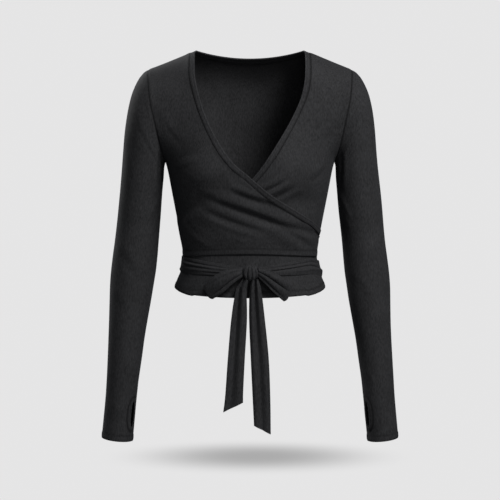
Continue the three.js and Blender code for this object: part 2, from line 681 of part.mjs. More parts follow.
function backPanel() {
  const top = backTop();
  const columns = top.length - 1;
  const last = ARMHOLE_STEPS + BACK_SIDE_STEPS;
  const fullDrop = sideDrop(HEM_Z);
  const points = [];
  for (let i = 0; i <= last; i += 1) {
    const sideShare = (i - ARMHOLE_STEPS) / BACK_SIDE_STEPS;
    const z = i <= ARMHOLE_STEPS ? armholeZ(i / ARMHOLE_STEPS) : mix(ARMPIT_Z, HEM_Z, sideShare);
    const down = sideDrop(z) / fullDrop;
    const row = [];
    for (let j = 0; j <= columns; j += 1) {
      const even = (Math.PI * j) / columns;
      const bottomZ = HEM_Z - BACK_HEM_DIP * Math.sin(even) ** 2;
      const bottomX = follow(BODY, 'z', 'half', bottomZ) * spread(even, bottomZ);
      const bottomDrop = shoulderHeight(bottomX) - bottomZ;
      const seam = i >= ARMHOLE_STEPS ? SEAM_ANGLE * Math.sign(columns / 2 - j) : 0;
      const onEdge = j === 0 || j === columns ? seam : 0;
      const angle = mix(top[j].angle, even, smoothStep(down * NECK_FADE)) + onEdge;
      row.push(skinByDrop('back', angle, mix(top[j].drop, bottomDrop, down)));
    }
    points.push(row);
  }
  const normals = gridNormals(points, false, fromBody);
  normals.forEach((row, i) => {
    for (const j of [0, columns]) {
      if (i <= ARMHOLE_STEPS) row[j].copy(armholeDirection(i / ARMHOLE_STEPS, 'back'));
      else row[j].setY(0).normalize();
    }
  });
  for (let j = BACK_SHOULDER_COLUMNS + 1; j < columns - BACK_SHOULDER_COLUMNS; j += 1) {
    normals[0][j].copy(skinDirection('back', top[j].angle, top[j].drop));
  }
  for (let j = 0; j <= BACK_SHOULDER_COLUMNS; j += 1) {
    if (j > 0) normals[0][j].copy(shoulderDirection(-1));
    if (j > 0) normals[0][columns - j].copy(shoulderDirection(1));
    points[0][j].setY(SEAM_GAP / 2);
    points[0][columns - j].setY(SEAM_GAP / 2);
  }
  return clothWall(points, normals, () => WALL, false);
}

function backBinding() {
  const steps = BACK_NECK_COLUMNS;
  const places = [];
  for (let i = 0; i <= steps; i += 1) {
    const row = [];
    for (let j = 0; j <= BINDING_COLUMNS; j += 1) {
      row.push(backNeckPlace((Math.PI * i) / steps, (BINDING_WIDTH * j) / BINDING_COLUMNS));
    }
    places.push(row);
  }
  const points = places.map((row) => row.map((at) => skinByDrop('back', at.angle, at.drop)));
  const normals = places.map((row) => row.map((at) => skinDirection('back', at.angle, at.drop)));
  for (const i of [0, steps]) {
    points[i].forEach((point) => point.setY(SEAM_GAP / 2));
    normals[i].forEach((normal) => normal.copy(shoulderDirection(i === 0 ? -1 : 1)));
  }
  return clothWall(points, normals, (i, j) => (j === 1 ? BINDING_WALL : WALL), false);
}

// A sleeve, in the frame of the wearer's right side, from the armhole to the cuff
function sleeveColumnAngle(rowIndex, column) {
  const even = (Math.PI * column) / ARMHOLE_STEPS;
  const hole = THUMB_HOLE;
  const cell = Math.floor((hole.angle / Math.PI) * ARMHOLE_STEPS);
  if (column !== cell && column !== cell + 1) return even;
  const middle = (hole.firstRow + hole.lastRow + 1) / 2;
  const reach = (hole.lastRow + 1 - hole.firstRow) / 2;
  const off = Math.abs(rowIndex - middle) / reach;
  if (off > 1.01) return even;
  const half = mix(hole.halfMiddle, hole.halfEnd, off ** 2);
  return hole.angle + (column === cell ? -half : half);
}

function sleeve(side) {
  const around = ARMHOLE_STEPS * 2;
  const points = [];
  const seam = [];
  const outOfArmhole = new THREE.Vector3(TIP_Z - ARMPIT_Z, 0,
    -(SHOULDER_HALF - follow(BODY, 'z', 'half', ARMPIT_Z))).normalize();
  for (let j = 0; j < around; j += 1) {
    const face = j <= ARMHOLE_STEPS ? 'front' : 'back';
    const share = (j <= ARMHOLE_STEPS ? j : around - j) / ARMHOLE_STEPS;
    const at = skinByDrop(face, 0, sideDrop(armholeZ(share)));
    at.x -= outOfArmhole.x * SEAM_GAP;
    at.z += outOfArmhole.z * SEAM_GAP;
    seam.push(at);
  }
  points.push(seam);
  const armpitHalf = follow(BODY, 'z', 'half', ARMPIT_Z);
  const bow = seam.map((at) => {
    const share = (at.z - ARMPIT_Z) / (TIP_Z - ARMPIT_Z);
    return -at.x - mix(armpitHalf, SHOULDER_HALF, share);
  });
  SLEEVE.forEach((section, i) => {
    const bowed = Math.max(0, 1 - (i + 1) / ARMHOLE_BOW_ROWS);
    const middleX = (section.outX + section.inX) / 2;
    const middleZ = (section.outZ + section.inZ) / 2;
    const row = [];
    for (let j = 0; j < around; j += 1) {
      const angle = sleeveColumnAngle(i + 1, j);
      const reach = Math.cos(angle);
      const x = middleX + (section.outX - middleX) * reach;
      const z = middleZ + (section.outZ - middleZ) * reach;
      const y = section.y - section.half * Math.sin(angle);
      row.push(new THREE.Vector3(-x - bow[j] * bowed, y, z));
    }
    points.push(row);
  });
  const away = (point) => new THREE.Vector3(0, point.y, 0);
  const normals = gridNormals(points, true, away);
  normals[0].forEach((normal, j) => {
    const face = j <= ARMHOLE_STEPS ? 'front' : 'back';
    const share = (j <= ARMHOLE_STEPS ? j : around - j) / ARMHOLE_STEPS;
    normal.copy(armholeDirection(share, face));
  });
  if (side < 0) {
    mirrorRows(points);
    mirrorRows(normals);
  }
  const cell = Math.floor((THUMB_HOLE.angle / Math.PI) * ARMHOLE_STEPS);
  const isHole = (i, j) => j === cell && i >= THUMB_HOLE.firstRow && i <= THUMB_HOLE.lastRow;
  return clothWall(points, normals, () => WALL, true, isHole);
}

// A tie from the knot round its own side and across the back
function tieBand(side, isOuter) {
  const points = [];
  const firstTurn = TIE_COURSE[0].turn;
  const lastTurn = TIE_COURSE[TIE_COURSE.length - 1].turn;
  for (let i = 0; i <= TIE_STEPS; i += 1) {
    const turn = mix(firstTurn, lastTurn, i / TIE_STEPS);
    const crowd = clamp(follow(TIE_COURSE, 'turn', 'crowd', turn), 0, 1);
    const shift = isOuter ? -BACK_TIE_STEP * crowd : 0;
    const z = follow(TIE_COURSE, 'turn', 'z', turn) + shift;
    const half = follow(TIE_COURSE, 'turn', 'half', turn);
    const row = [];
    for (let j = 0; j <= TIE_COLUMNS; j += 1) {
      const at = z + half - (2 * half * j) / TIE_COLUMNS;
      const turned = turn <= Math.PI / 2 ? Math.PI / 2 - turn : turn - Math.PI / 2;
      const face = turn <= Math.PI / 2 ? 'front' : 'back';
      row.push(skin(face, turned, at));
    }
    points.push(row);
  }
  const normals = gridNormals(points, false, fromBody);
  points.forEach((row, i) => row.forEach((point, j) => {
    const turn = mix(firstTurn, lastTurn, i / TIE_STEPS);
    const crowd = clamp(follow(TIE_COURSE, 'turn', 'crowd', turn), 0, 1);
    const lift = isOuter ? mix(TIE_LAYERS.inner, TIE_LAYERS.outer, crowd) : TIE_LAYERS.inner;
    point.addScaledVector(normals[i][j], lift);
  }));
  if (side < 0) {
    mirrorRows(points);
    mirrorRows(normals);
  }
  return clothWall(points, normals, () => WALL, false);
}

// The knot, a rounded block with upright wrinkles
function knotWidthAt(y, z) {
  const up = clamp(1 - Math.abs((z - KNOT.z) / KNOT.halfZ) ** KNOT.power, 0, 1);
  const girth = up ** (1 / KNOT.power);
  const across = clamp(1 - Math.abs((y - KNOT.y) / (KNOT.halfY * girth)) ** KNOT.power, 0, 1);
  return KNOT.halfX * girth * across ** (1 / KNOT.power);
}

function knot() {
  const positions = [];
  const index = [];
  for (let i = 0; i <= KNOT_RINGS; i += 1) {
    const rise = -Math.cos((Math.PI * (i + KNOT_FIRST_RING)) / (KNOT_RINGS + 2 * KNOT_FIRST_RING));
    const girth = (1 - Math.abs(rise) ** KNOT.power) ** (1 / KNOT.power);
    for (let j = 0; j < KNOT_SIDES; j += 1) {
      const angle = (2 * Math.PI * j) / KNOT_SIDES;
      const power = 2 / KNOT.power;
      const c = Math.sign(Math.cos(angle)) * Math.abs(Math.cos(angle)) ** power;
      const s = Math.sign(Math.sin(angle)) * Math.abs(Math.sin(angle)) ** power;
      const wave = s < 0 ? KNOT_WRINKLE.depth * Math.cos(KNOT_WRINKLE.count * angle) : 0;
      const x = KNOT.x + KNOT.halfX * girth * c;
      const y = KNOT.y + KNOT.halfY * girth * s + Math.max(0, wave);
      positions.push(x, y, KNOT.z + KNOT.halfZ * rise);
    }
  }
  const low = positions.length / 3;
  positions.push(KNOT.x, KNOT.y, KNOT.z - KNOT.halfZ);
  positions.push(KNOT.x, KNOT.y, KNOT.z + KNOT.halfZ);
  const top = KNOT_RINGS * KNOT_SIDES;
  for (let j = 0; j < KNOT_SIDES; j += 1) {
    const next = (j + 1) % KNOT_SIDES;
    index.push(low, next, j);
    index.push(low + 1, top + j, top + next);
    for (let i = 0; i < KNOT_RINGS; i += 1) {
      const a = i * KNOT_SIDES + j;
      const b = i * KNOT_SIDES + next;
      index.push(a, b, b + KNOT_SIDES, a, b + KNOT_SIDES, a + KNOT_SIDES);
    }
  }
  return solid(positions, index);
}

// A bow loop: a strip that runs out from the knot, turns and comes back behind itself
function bowLoop(loop) {
  const points = [];
  for (let i = 0; i <= LOOP_STEPS; i += 1) {
    const turn = (Math.PI * i) / LOOP_STEPS;
    const out = Math.sin(turn);
    const half = LOOP_DEPTH.pinched + LOOP_DEPTH.puffed * Math.sin(Math.PI * out);
    const row = [];
    for (let j = 0; j <= LOOP_COLUMNS; j += 1) {
      const share = j / LOOP_COLUMNS;
      const x = mix(alongPoints(loop.upper, 'x', out), alongPoints(loop.lower, 'x', out), share);
      const z = mix(alongPoints(loop.upper, 'z', out), alongPoints(loop.lower, 'z', out), share);
      const y = LOOP_DEPTH.middleY - half * Math.cos(turn);
      const clear = knotWidthAt(y, z) + 2 * SEAM_GAP + KNOT.x * loop.side;
      row.push(new THREE.Vector3(loop.side * Math.max(x, clear), y, z));
    }
    points.push(row);
  }
  const away = (point) => new THREE.Vector3(0, point.y - LOOP_DEPTH.middleY, 0);
  const normals = gridNormals(points, false, away);
  return clothWall(points, normals, () => WALL, false);
}

// A hanging tail, curled a little across its width
function tieTail(tail) {
  const points = [];
  for (let i = 0; i <= TAIL_STEPS; i += 1) {
    const share = (i / TAIL_STEPS) ** TAIL_CROWDING;
    const row = [];
    for (let j = 0; j <= TAIL_COLUMNS; j += 1) {
      const over = j / TAIL_COLUMNS;
      const read = (column) => alongPoints(tail.rows, column, share);
      const x = mix(read('leftX'), read('rightX'), over);
      const z = mix(read('leftZ'), read('rightZ'), over);
      const y = read('y') - read('curl') * Math.sin(Math.PI * over);
      row.push(new THREE.Vector3(x, y, z));
    }
    points.push(row);
  }
  return clothWall(points, gridNormals(points, false, forward), () => WALL, false);
}

function cloth(name, geometry) {
  const mesh = new THREE.Mesh(geometry, new THREE.MeshStandardMaterial(JERSEY));
  mesh.name = name;
  return mesh;
}

const group = new THREE.Group();
group.add(cloth('back', backPanel()));
group.add(cloth('front_right', frontPanel(WRAP_FRONT, 1)));
group.add(cloth('front_left', frontPanel(INNER_FRONT, -1)));
group.add(cloth('sleeve_right', sleeve(1)));
group.add(cloth('sleeve_left', sleeve(-1)));
group.add(cloth('neck_binding_right', frontBinding(1, 1)));
group.add(cloth('neck_binding_left', frontBinding(INNER_NECK_END, -1)));
group.add(cloth('neck_binding_back', backBinding()));
group.add(cloth('tie_band_right', tieBand(1, false)));
group.add(cloth('tie_band_left', tieBand(-1, true)));
group.add(cloth('tie_knot', knot()));
for (const loop of LOOPS) group.add(cloth(loop.name, bowLoop(loop)));
for (const tail of TAILS) group.add(cloth(tail.name, tieTail(tail)));

export default group;
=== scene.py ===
# %% [markdown]
# # A wrap top of black jersey
# The imported CAD part gives the frame: its origin, its size and its fifteen named pieces.
# Each cell below builds one part of the look over that frame. Lengths in the tables are
# millimetres, and they become metres when a mesh is made. The cloth could be draped by
# Blender's simulation, but it is drawn tight and knotted, so its folds are placed one by one.

import math

import bpy
import numpy as np
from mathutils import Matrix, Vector


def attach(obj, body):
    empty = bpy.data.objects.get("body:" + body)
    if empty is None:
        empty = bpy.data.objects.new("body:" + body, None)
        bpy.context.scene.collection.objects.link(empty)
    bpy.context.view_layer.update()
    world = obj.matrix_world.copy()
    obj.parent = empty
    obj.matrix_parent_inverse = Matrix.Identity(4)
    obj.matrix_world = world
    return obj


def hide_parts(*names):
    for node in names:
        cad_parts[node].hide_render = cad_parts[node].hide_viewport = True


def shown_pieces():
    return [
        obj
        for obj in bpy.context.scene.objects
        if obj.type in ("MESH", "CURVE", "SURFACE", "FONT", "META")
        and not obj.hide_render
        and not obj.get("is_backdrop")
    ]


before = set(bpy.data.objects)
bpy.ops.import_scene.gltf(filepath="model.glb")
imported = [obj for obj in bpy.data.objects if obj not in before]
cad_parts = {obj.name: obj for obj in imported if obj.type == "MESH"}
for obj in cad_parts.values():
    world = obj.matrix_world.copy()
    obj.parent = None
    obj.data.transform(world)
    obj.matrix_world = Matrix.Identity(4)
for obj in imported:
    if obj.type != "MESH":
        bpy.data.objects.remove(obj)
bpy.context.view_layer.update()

# %% [markdown]
# ## Camera
# The photo looks straight at the front from a little above the middle of the top. A long
# lens far away keeps the sleeves and the body at one scale: 1.75 mm for each pixel. A near,
# wide lens would show more of the inside, but it would swell the bow towards the viewer.

# %% Camera
IMAGE_WIDTH_PX = 500
MM_PER_PIXEL = 1.75
CAMERA_DISTANCE = 2.6
CAMERA_ELEVATION = math.radians(4)
SENSOR_WIDTH = 36
VIEW_CENTRE = Vector((0, 0, -0.3465))

camera_data = bpy.data.cameras.new("camera")
camera = bpy.data.objects.new("camera", camera_data)
bpy.context.scene.collection.objects.link(camera)
bpy.context.scene.camera = camera
toward_camera = Vector((0, -math.cos(CAMERA_ELEVATION), math.sin(CAMERA_ELEVATION)))
camera.location = VIEW_CENTRE + toward_camera * CAMERA_DISTANCE
camera.rotation_mode = "QUATERNION"
camera.rotation_quaternion = (-toward_camera).to_track_quat("-Z", "Y")
camera_data.sensor_width = SENSOR_WIDTH
camera_data.lens = CAMERA_DISTANCE * 1000 / MM_PER_PIXEL / IMAGE_WIDTH_PX * SENSOR_WIDTH
print("lens", round(camera_data.lens, 1), "mm")

# %% [markdown]
# ## Smooth curves through tables
# The shape is read from short tables. `smooth_curve` draws a smooth line through a table,
# so a fine grid can be read from a few rows. Blender's own curves could do this, but plain
# arithmetic lets thousands of points be read in one call.

# %% Curves and steps
TINY = 1e-9


def smooth_curve(places, values, at):
    places = np.asarray(places, float)
    values = np.asarray(values, float)
    if places[-1] < places[0]:
        places = places[::-1]
        values = values[::-1]
    slopes = np.empty_like(values)
    slopes[1:-1] = (values[2:] - values[:-2]) / (places[2:] - places[:-2])
    slopes[0] = (values[1] - values[0]) / (places[1] - places[0])
    slopes[-1] = (values[-1] - values[-2]) / (places[-1] - places[-2])
    at = np.clip(at, places[0], places[-1])
    k = np.clip(np.searchsorted(places, at, side="right") - 1, 0, len(places) - 2)
    width = places[k + 1] - places[k]
    t = (at - places[k]) / width
    start = (2 * t**3 - 3 * t**2 + 1) * values[k] + (t**3 - 2 * t**2 + t) * slopes[k] * width
    end = (3 * t**2 - 2 * t**3) * values[k + 1] + (t**3 - t**2) * slopes[k + 1] * width
    return start + end


def smooth_step(value):
    t = np.clip(value, 0, 1)
    return t * t * (3 - 2 * t)


def mix(a, b, share):
    return a + (b - a) * share


def unit(vectors):
    return vectors / np.maximum(np.linalg.norm(vectors, axis=-1, keepdims=True), TINY)


print("a step is", float(smooth_step(np.array(0.5))), "halfway")

# %% [markdown]
# ## The body under the cloth
# One function, `skin`, gives the inside of the cloth at an angle round the body and a
# height. The sections are a little squarer than ellipses, the front swells at the bust,
# and near the shoulders each panel turns over to its shoulder seam. A body could be
# sculpted and the cloth shrunk on to it. A function is used here, so that the fronts, the
# back, the ties and the binding all follow one surface.

# %% Body shape
WALL = 1.1
NECK_HALF = 94.5
SHOULDER_HALF = 176.0
SHOULDER_FALL = 33.0
ARMPIT_Z = -191.0
ARMHOLE_DEPTH = {"front": 55.0, "back": 57.0}
NECK_ROUNDING = 62.0
BACK_NECK_DIP = 12.0
SECTION_POWER = 0.87
OPEN_SIDE = 0.8
EDGE_POWER = 1.6
BUST_OUT, BUST_Z, BUST_WIDTH, BUST_HEIGHT, BUST_RISE = 80.0, -208.0, 50.0, 52.0, 13.0
BODY_Z = [0, -34, -84, -119, -154, -180, -191, -196, -210, -252, -308, -336, -357, -378, -392, -410, -426]
BODY_HALF = [177, 176, 171, 164, 156.5, 149.6, 146.4, 144.2, 141.2, 133.6, 122.8, 117.6, 115.6, 117.5,
             124, 130.2, 132]
BODY_DEPTH = {
    "front": [60, 69, 83, 91, 98, 102, 103, 103, 103, 98, 90, 87, 86.5, 88.5, 91.5, 95, 98],
    "back": [66, 76, 89, 94, 95, 93, 91, 90, 88, 81, 73, 71, 71, 75, 80, 86, 89],
}
CAD_WALL = 1.2
HEIGHT_ROUNDS = 14
SOFT_REACH = 34.0
SOFT_ANGLE = 0.55
SOFT_OFFSETS = np.linspace(-1, 1, 11)
SOFT_WEIGHTS = (1.1 - SOFT_OFFSETS**2) / np.sum(1.1 - SOFT_OFFSETS**2)
BISECTION_ROUNDS = 30

print("body tables", len(BODY_Z), "rows from", BODY_Z[0], "to", BODY_Z[-1], "mm")

# %% [markdown]
# ## Widths, shoulders and armholes
# The shoulder seam falls away from the neck, and the armhole opens below its tip. Simple
# formulas with named limits are easier to check against a tape measure than a sculpt.

# %% Widths and armholes
def half_width(z):
    return smooth_curve(BODY_Z, BODY_HALF, z)


def shoulder_height(x):
    share = (np.abs(x) - NECK_HALF) / (SHOULDER_HALF - NECK_HALF)
    return -CAD_WALL / 2 - SHOULDER_FALL * np.maximum(0, share)


TIP_Z = float(shoulder_height(SHOULDER_HALF))
ARMHOLE_MIDDLE_Z = (TIP_Z + ARMPIT_Z) / 2


def turned_over(x, drop):
    share = np.clip((np.abs(x) - NECK_HALF) / (SHOULDER_HALF - NECK_HALF), 0, 1)
    height = mix(NECK_ROUNDING, TIP_Z - ARMHOLE_MIDDLE_Z, share)
    left = np.clip(1 - drop / height, 0, 1)
    return np.sqrt(1 - left * left)


def armhole_share(z):
    below = np.clip((ARMHOLE_MIDDLE_Z - z) / (ARMHOLE_MIDDLE_Z - ARMPIT_Z), 0, 1)
    return np.sqrt(1 - below * below)


print("half width under the arms", round(float(half_width(ARMPIT_Z)), 1), "mm")

# %% [markdown]
# ## The surface itself
# A place on the body is given by a height and an angle round it. A plain ellipse would be
# simpler, but a body is squarer, and the section also opens towards the armholes.

# %% Surface of the body
def soft_share(angle, z):
    """The armhole's share, blurred over height away from the seam so that no line shows."""
    reach = SOFT_REACH * smooth_step(np.minimum(angle, np.pi - angle) / SOFT_ANGLE)
    total = 0
    for offset, weight in zip(SOFT_OFFSETS, SOFT_WEIGHTS):
        total = total + weight * armhole_share(z + offset * reach)
    return total


def squared(value):
    return np.sign(value) * np.abs(value) ** SECTION_POWER


def spread(angle, z):
    return mix(squared(np.cos(angle)), 1 - 2 * angle / np.pi, OPEN_SIDE * soft_share(angle, z))


def skin(face, angle, z):
    x = -half_width(z) * spread(angle, z)
    inward = np.abs(np.sin(angle)) ** SECTION_POWER
    edge = ARMHOLE_DEPTH[face] * soft_share(angle, z)
    depth = smooth_curve(BODY_Z, BODY_DEPTH[face], z) * inward + edge * (1 - inward) ** EDGE_POWER
    if face == "front":
        across = (np.abs(x) - BUST_OUT) / BUST_WIDTH
        up = (z - BUST_Z) / BUST_HEIGHT
        depth = depth + BUST_RISE * np.exp(-across * across - up * up) * inward
    y = depth * turned_over(x, shoulder_height(x) - z)
    return np.stack([x, -y if face == "front" else y, z + 0 * x], -1)


def height_at(angle, drop):
    z = -drop + 0 * angle
    for _ in range(HEIGHT_ROUNDS):
        z = shoulder_height(half_width(z) * spread(angle, z)) - drop
    return z


def skin_by_drop(face, angle, drop):
    return skin(face, angle, height_at(angle, drop))


def angle_at(x, z):
    share = -x / half_width(z)
    low = np.zeros_like(share)
    high = np.full_like(share, np.pi)
    for _ in range(BISECTION_ROUNDS):
        middle = (low + high) / 2
        wide = spread(middle, z) > share
        low = np.where(wide, middle, low)
        high = np.where(wide, high, middle)
    return (low + high) / 2


def side_drop(z):
    return shoulder_height(half_width(z)) - z


print("shoulder tip at", round(TIP_Z, 1), "mm, waist half width", float(half_width(-357)))

# %% [markdown]
# ## The neck edge
# The wearer's right front crosses over, and its free edge runs from the shoulder to the
# far side seam. `beside_neck` walks a distance over the cloth away from that edge: the
# binding takes the first 9 mm, and the panel begins just under its far side. A cut through
# a finished mesh would leave ragged teeth, so the edge is a row of the grid from the start.

# %% Neck edge
OUTER_EDGE = (
    [-94.5, -94.5, -91.6, -77.8, -55.6, -28.5, 3.4, 35.2, 72.4, 104, 121],
    [-0.6, -26, -57, -107, -154, -193, -219.6, -245.8, -270.5, -293, -313],
)
INNER_EDGE = (
    [-94.5, -94.5, -92.4, -85.2, -68.5, -46.4, -25.8, -6.4, 18, 47, 77, 104, 121],
    [-0.6, -26, -56, -86, -122, -160, -192, -217, -241, -263, -280, -297, -313],
)
BINDING_WIDTH = 9.0
SEAM_GAP = 0.2
TUCKED_ANGLE = 0.4
SEAM_ANGLE = SEAM_GAP / 200
CURVE_SAMPLES = 400
SHARE_STEP = 1e-3
PROBE = 1e-4
END_STEP = 0.002


def neck_curve(edge, share):
    places = np.arange(len(edge[0]))
    at = np.asarray(share, float) * (len(edge[0]) - 1)
    x = smooth_curve(places, edge[0], at)
    z = smooth_curve(places, edge[1], at)
    drop = np.where(at <= 0, 0, np.maximum(0, shoulder_height(x) - z))
    return angle_at(x, z), drop


def beside_neck(edge, share, distance):
    before_angle, before_drop = neck_curve(edge, np.maximum(0, share - SHARE_STEP))
    after_angle, after_drop = neck_curve(edge, np.minimum(1, share + SHARE_STEP))
    angle, drop = neck_curve(edge, share)
    here = skin_by_drop("front", angle, drop)
    per_angle = np.linalg.norm(skin_by_drop("front", angle + PROBE, drop) - here, axis=-1) / PROBE
    per_drop = np.linalg.norm(skin_by_drop("front", angle, drop + PROBE) - here, axis=-1) / PROBE
    along_angle = (after_angle - before_angle) * per_angle
    along_drop = (after_drop - before_drop) * per_drop
    length = np.hypot(along_angle, along_drop)
    return (angle - along_drop / length * distance / per_angle,
            drop + along_angle / length * distance / per_drop)


def neck_lengths(edge, neck_end):
    shares = np.linspace(0, 1, CURVE_SAMPLES + 1)
    angle, drop = neck_curve(edge, shares * neck_end)
    points = skin_by_drop("front", angle, drop)
    steps = np.linalg.norm(np.diff(points, axis=0), axis=1)
    return shares, np.concatenate([[0], np.cumsum(steps)])


def even_on_neck(edge, neck_end, at):
    shares, lengths = neck_lengths(edge, neck_end)
    return np.interp(np.asarray(at) * lengths[-1], lengths, shares) * neck_end


ends = np.arange(1, 0, -END_STEP)
INNER_NECK_END = float(ends[neck_curve(INNER_EDGE, ends)[0] <= np.pi - TUCKED_ANGLE][0])
print("the inner neck edge stops at", round(INNER_NECK_END, 3), "of the curve")

# %% [markdown]
# ## Making cloth
# `shell` turns a grid of points and directions into a thin wall with closed rims, and
# gives it a map in metres so that the knit keeps its size. The Solidify modifier could
# give the wall, but here the wall also thickens at hems, and its rims must close exactly.

# %% Cloth walls from grids
MM = 0.001


def grid_normals(points, closed, away):
    if closed:
        over = np.roll(points, -1, 1) - np.roll(points, 1, 1)
    else:
        over = np.gradient(points, axis=1)
    normals = unit(np.cross(np.gradient(points, axis=0), over))
    if np.sum(normals * away) < 0:
        normals = -normals
    return normals


def cloth_map(points, closed):
    loop = np.concatenate([points, points[:, :1]], 1) if closed else points
    across = np.cumsum(np.linalg.norm(np.diff(loop, axis=1), axis=2), axis=1)
    across = np.concatenate([np.zeros((len(loop), 1)), across], 1)
    down = np.cumsum(np.linalg.norm(np.diff(loop, axis=0), axis=2), axis=0)
    down = np.concatenate([np.zeros((1, loop.shape[1])), down], 0)
    across = across - across[:, -1:] / 2
    return np.stack([across, down], -1) * MM


def make_mesh(name, vertices, faces, corner_map, material, painted_shade=None):
    mesh = bpy.data.meshes.new(name)
    mesh.from_pydata(vertices.tolist(), [], faces.tolist())
    # Painted shade: this point attribute darkens the colour along seams, grooves and stitch lines.
    painted_seam_darkening = mesh.attributes.new("painted_seam_shade", "FLOAT", "POINT")
    if painted_shade is not None:
        painted_seam_darkening.data.foreach_set("value", np.clip(painted_shade, 0, 1).astype(np.float32))
    layer = mesh.uv_layers.new(name="cloth")
    layer.data.foreach_set("uv", corner_map.reshape(-1).astype(np.float32))
    mesh.polygons.foreach_set("use_smooth", np.ones(len(faces), bool))
    mesh.materials.append(material)
    made = bpy.data.objects.new(name, mesh)
    bpy.context.scene.collection.objects.link(made)
    return made


def shell(name, points, normals, thickness, material, closed=False, holes=None, painted_shade=None):
    rows, columns = points.shape[:2]
    count = rows * columns
    thick = np.broadcast_to(np.asarray(thickness, float), (rows, columns))
    outer = points + normals * thick[..., None]
    vertices = np.concatenate([points.reshape(-1, 3), outer.reshape(-1, 3)]) * MM
    number = np.arange(count).reshape(rows, columns)
    if closed:
        number = np.concatenate([number, number[:, :1]], 1)
    places = np.arange(number.size).reshape(number.shape)

    def cells(grid):
        made = np.stack([grid[:-1, :-1], grid[:-1, 1:], grid[1:, 1:], grid[1:, :-1]], -1)
        return made[~holes] if holes is not None else made.reshape(-1, 4)

    quads, mapped = cells(number), cells(places)
    flat = points.reshape(-1, 3)
    turn = np.cross(flat[quads[:, 2]] - flat[quads[:, 0]], flat[quads[:, 3]] - flat[quads[:, 1]])
    if np.sum(turn * normals.reshape(-1, 3)[quads[:, 0]]) < 0:
        quads, mapped = quads[:, ::-1], mapped[:, ::-1]
    pairs = np.concatenate([quads[:, [k, (k + 1) % 4]] for k in range(4)])
    pair_map = np.concatenate([mapped[:, [k, (k + 1) % 4]] for k in range(4)])
    forward = pairs[:, 0] * count + pairs[:, 1]
    backward = pairs[:, 1] * count + pairs[:, 0]
    free = ~np.isin(forward, backward)
    a, b = pairs[free].T
    rims = np.stack([b + count, a + count, a, b], -1)
    rim_map = pair_map[free][:, [1, 0, 0, 1]]
    faces = np.concatenate([quads + count, quads[:, ::-1], rims])
    face_map = np.concatenate([mapped, mapped[:, ::-1], rim_map])
    corner_map = cloth_map(points, closed).reshape(-1, 2)[face_map]
    if painted_shade is not None:
        painted_shade = np.tile(np.broadcast_to(painted_shade, (rows, columns)).reshape(-1), 2)
    return make_mesh(name, vertices, faces, corner_map, material, painted_shade)


print("sheets of cloth become meshes at", MM, "of their numbers")

# %% [markdown]
# ## Folded strips
# A binding or a tail is a strip folded on itself. `tube` makes it from a flattened ring
# that moves along a line. A bevelled curve has one section along its whole length, but
# rings joined one after another can widen and flatten, and caps close both ends.

# %% Tubes and measures
def tube(name, rings, material, painted_shade=None):
    rows, columns = rings.shape[:2]
    number = np.arange(rows * columns).reshape(rows, columns)
    number = np.concatenate([number, number[:, :1]], 1)
    places = np.arange(number.size).reshape(number.shape)

    def cells(grid):
        made = np.stack([grid[:-1, :-1], grid[:-1, 1:], grid[1:, 1:], grid[1:, :-1]], -1)
        return made.reshape(-1, 4)

    quads, mapped = cells(number), cells(places)
    flat = rings.reshape(-1, 3)
    middle = np.repeat(rings.mean(1), columns, 0)
    turn = np.cross(flat[quads[:, 2]] - flat[quads[:, 0]], flat[quads[:, 3]] - flat[quads[:, 1]])
    if np.sum(turn * (flat - middle)[quads[:, 0]]) < 0:
        quads, mapped = quads[:, ::-1], mapped[:, ::-1]
    caps = []
    half = columns // 2
    for row in (0, rows - 1):
        for k in range(half - 1):
            ring = row * columns
            cap = [ring + k, ring + k + 1, ring + columns - 2 - k, ring + columns - 1 - k]
            caps.append(cap)
    caps = np.array(caps)
    faces = np.concatenate([quads, caps])
    face_map = np.concatenate([mapped, np.zeros_like(caps)])
    corner_map = cloth_map(rings, True).reshape(-1, 2)[face_map]
    if painted_shade is not None:
        painted_shade = np.broadcast_to(painted_shade, (rows, columns)).reshape(-1)
    return make_mesh(name, flat * MM, faces, corner_map, material, painted_shade)


def sideways(points):
    """From the upright axis of the top out to each point."""
    return np.stack([points[..., 0], points[..., 1], 0 * points[..., 0]], -1)


def wall_area(made):
    return sum(face.area for face in made.data.polygons) / 2


# %% [markdown]
# ## Folds
# A fold is a soft ridge or trough along a bent line. Its height fades out at both ends.
# `uneven` adds the slow, slight waves that all worn cloth has, from a fixed seed. Sculpting
# or a displacement picture could do it. Numbers in a table are easy to move one by one.

# %% Folds and unevenness
FOLD_FADE = 0.7


def fold_field(across, up, folds):
    total = np.zeros_like(across)
    for from_x, from_z, to_x, to_z, bend, width, rise in folds:
        along_x, along_z = to_x - from_x, to_z - from_z
        length = math.hypot(along_x, along_z)
        share = ((across - from_x) * along_x + (up - from_z) * along_z) / length**2
        held = np.clip(share, 0, 1)
        off = ((across - from_x) * along_z - (up - from_z) * along_x) / length
        off = off - bend * 4 * held * (1 - held)
        total += rise * np.exp(-((off / width) ** 2)) * np.sin(np.pi * held) ** FOLD_FADE
    return total


def uneven(across, up, seed, size, height, waves=9):
    rng = np.random.default_rng(seed)
    total = np.zeros_like(across)
    for _ in range(waves):
        heading = rng.uniform(0, 2 * np.pi)
        length = size * rng.uniform(0.7, 1.9)
        phase = rng.uniform(0, 2 * np.pi)
        along = across * np.cos(heading) + up * np.sin(heading)
        total += np.sin(2 * np.pi * along / length + phase)
    return total * height / math.sqrt(waves)


def gathered_steps(count, share=0.55):
    even = np.linspace(0, 1, count)
    return mix(even, (1 - np.cos(np.pi * even)) / 2, share)
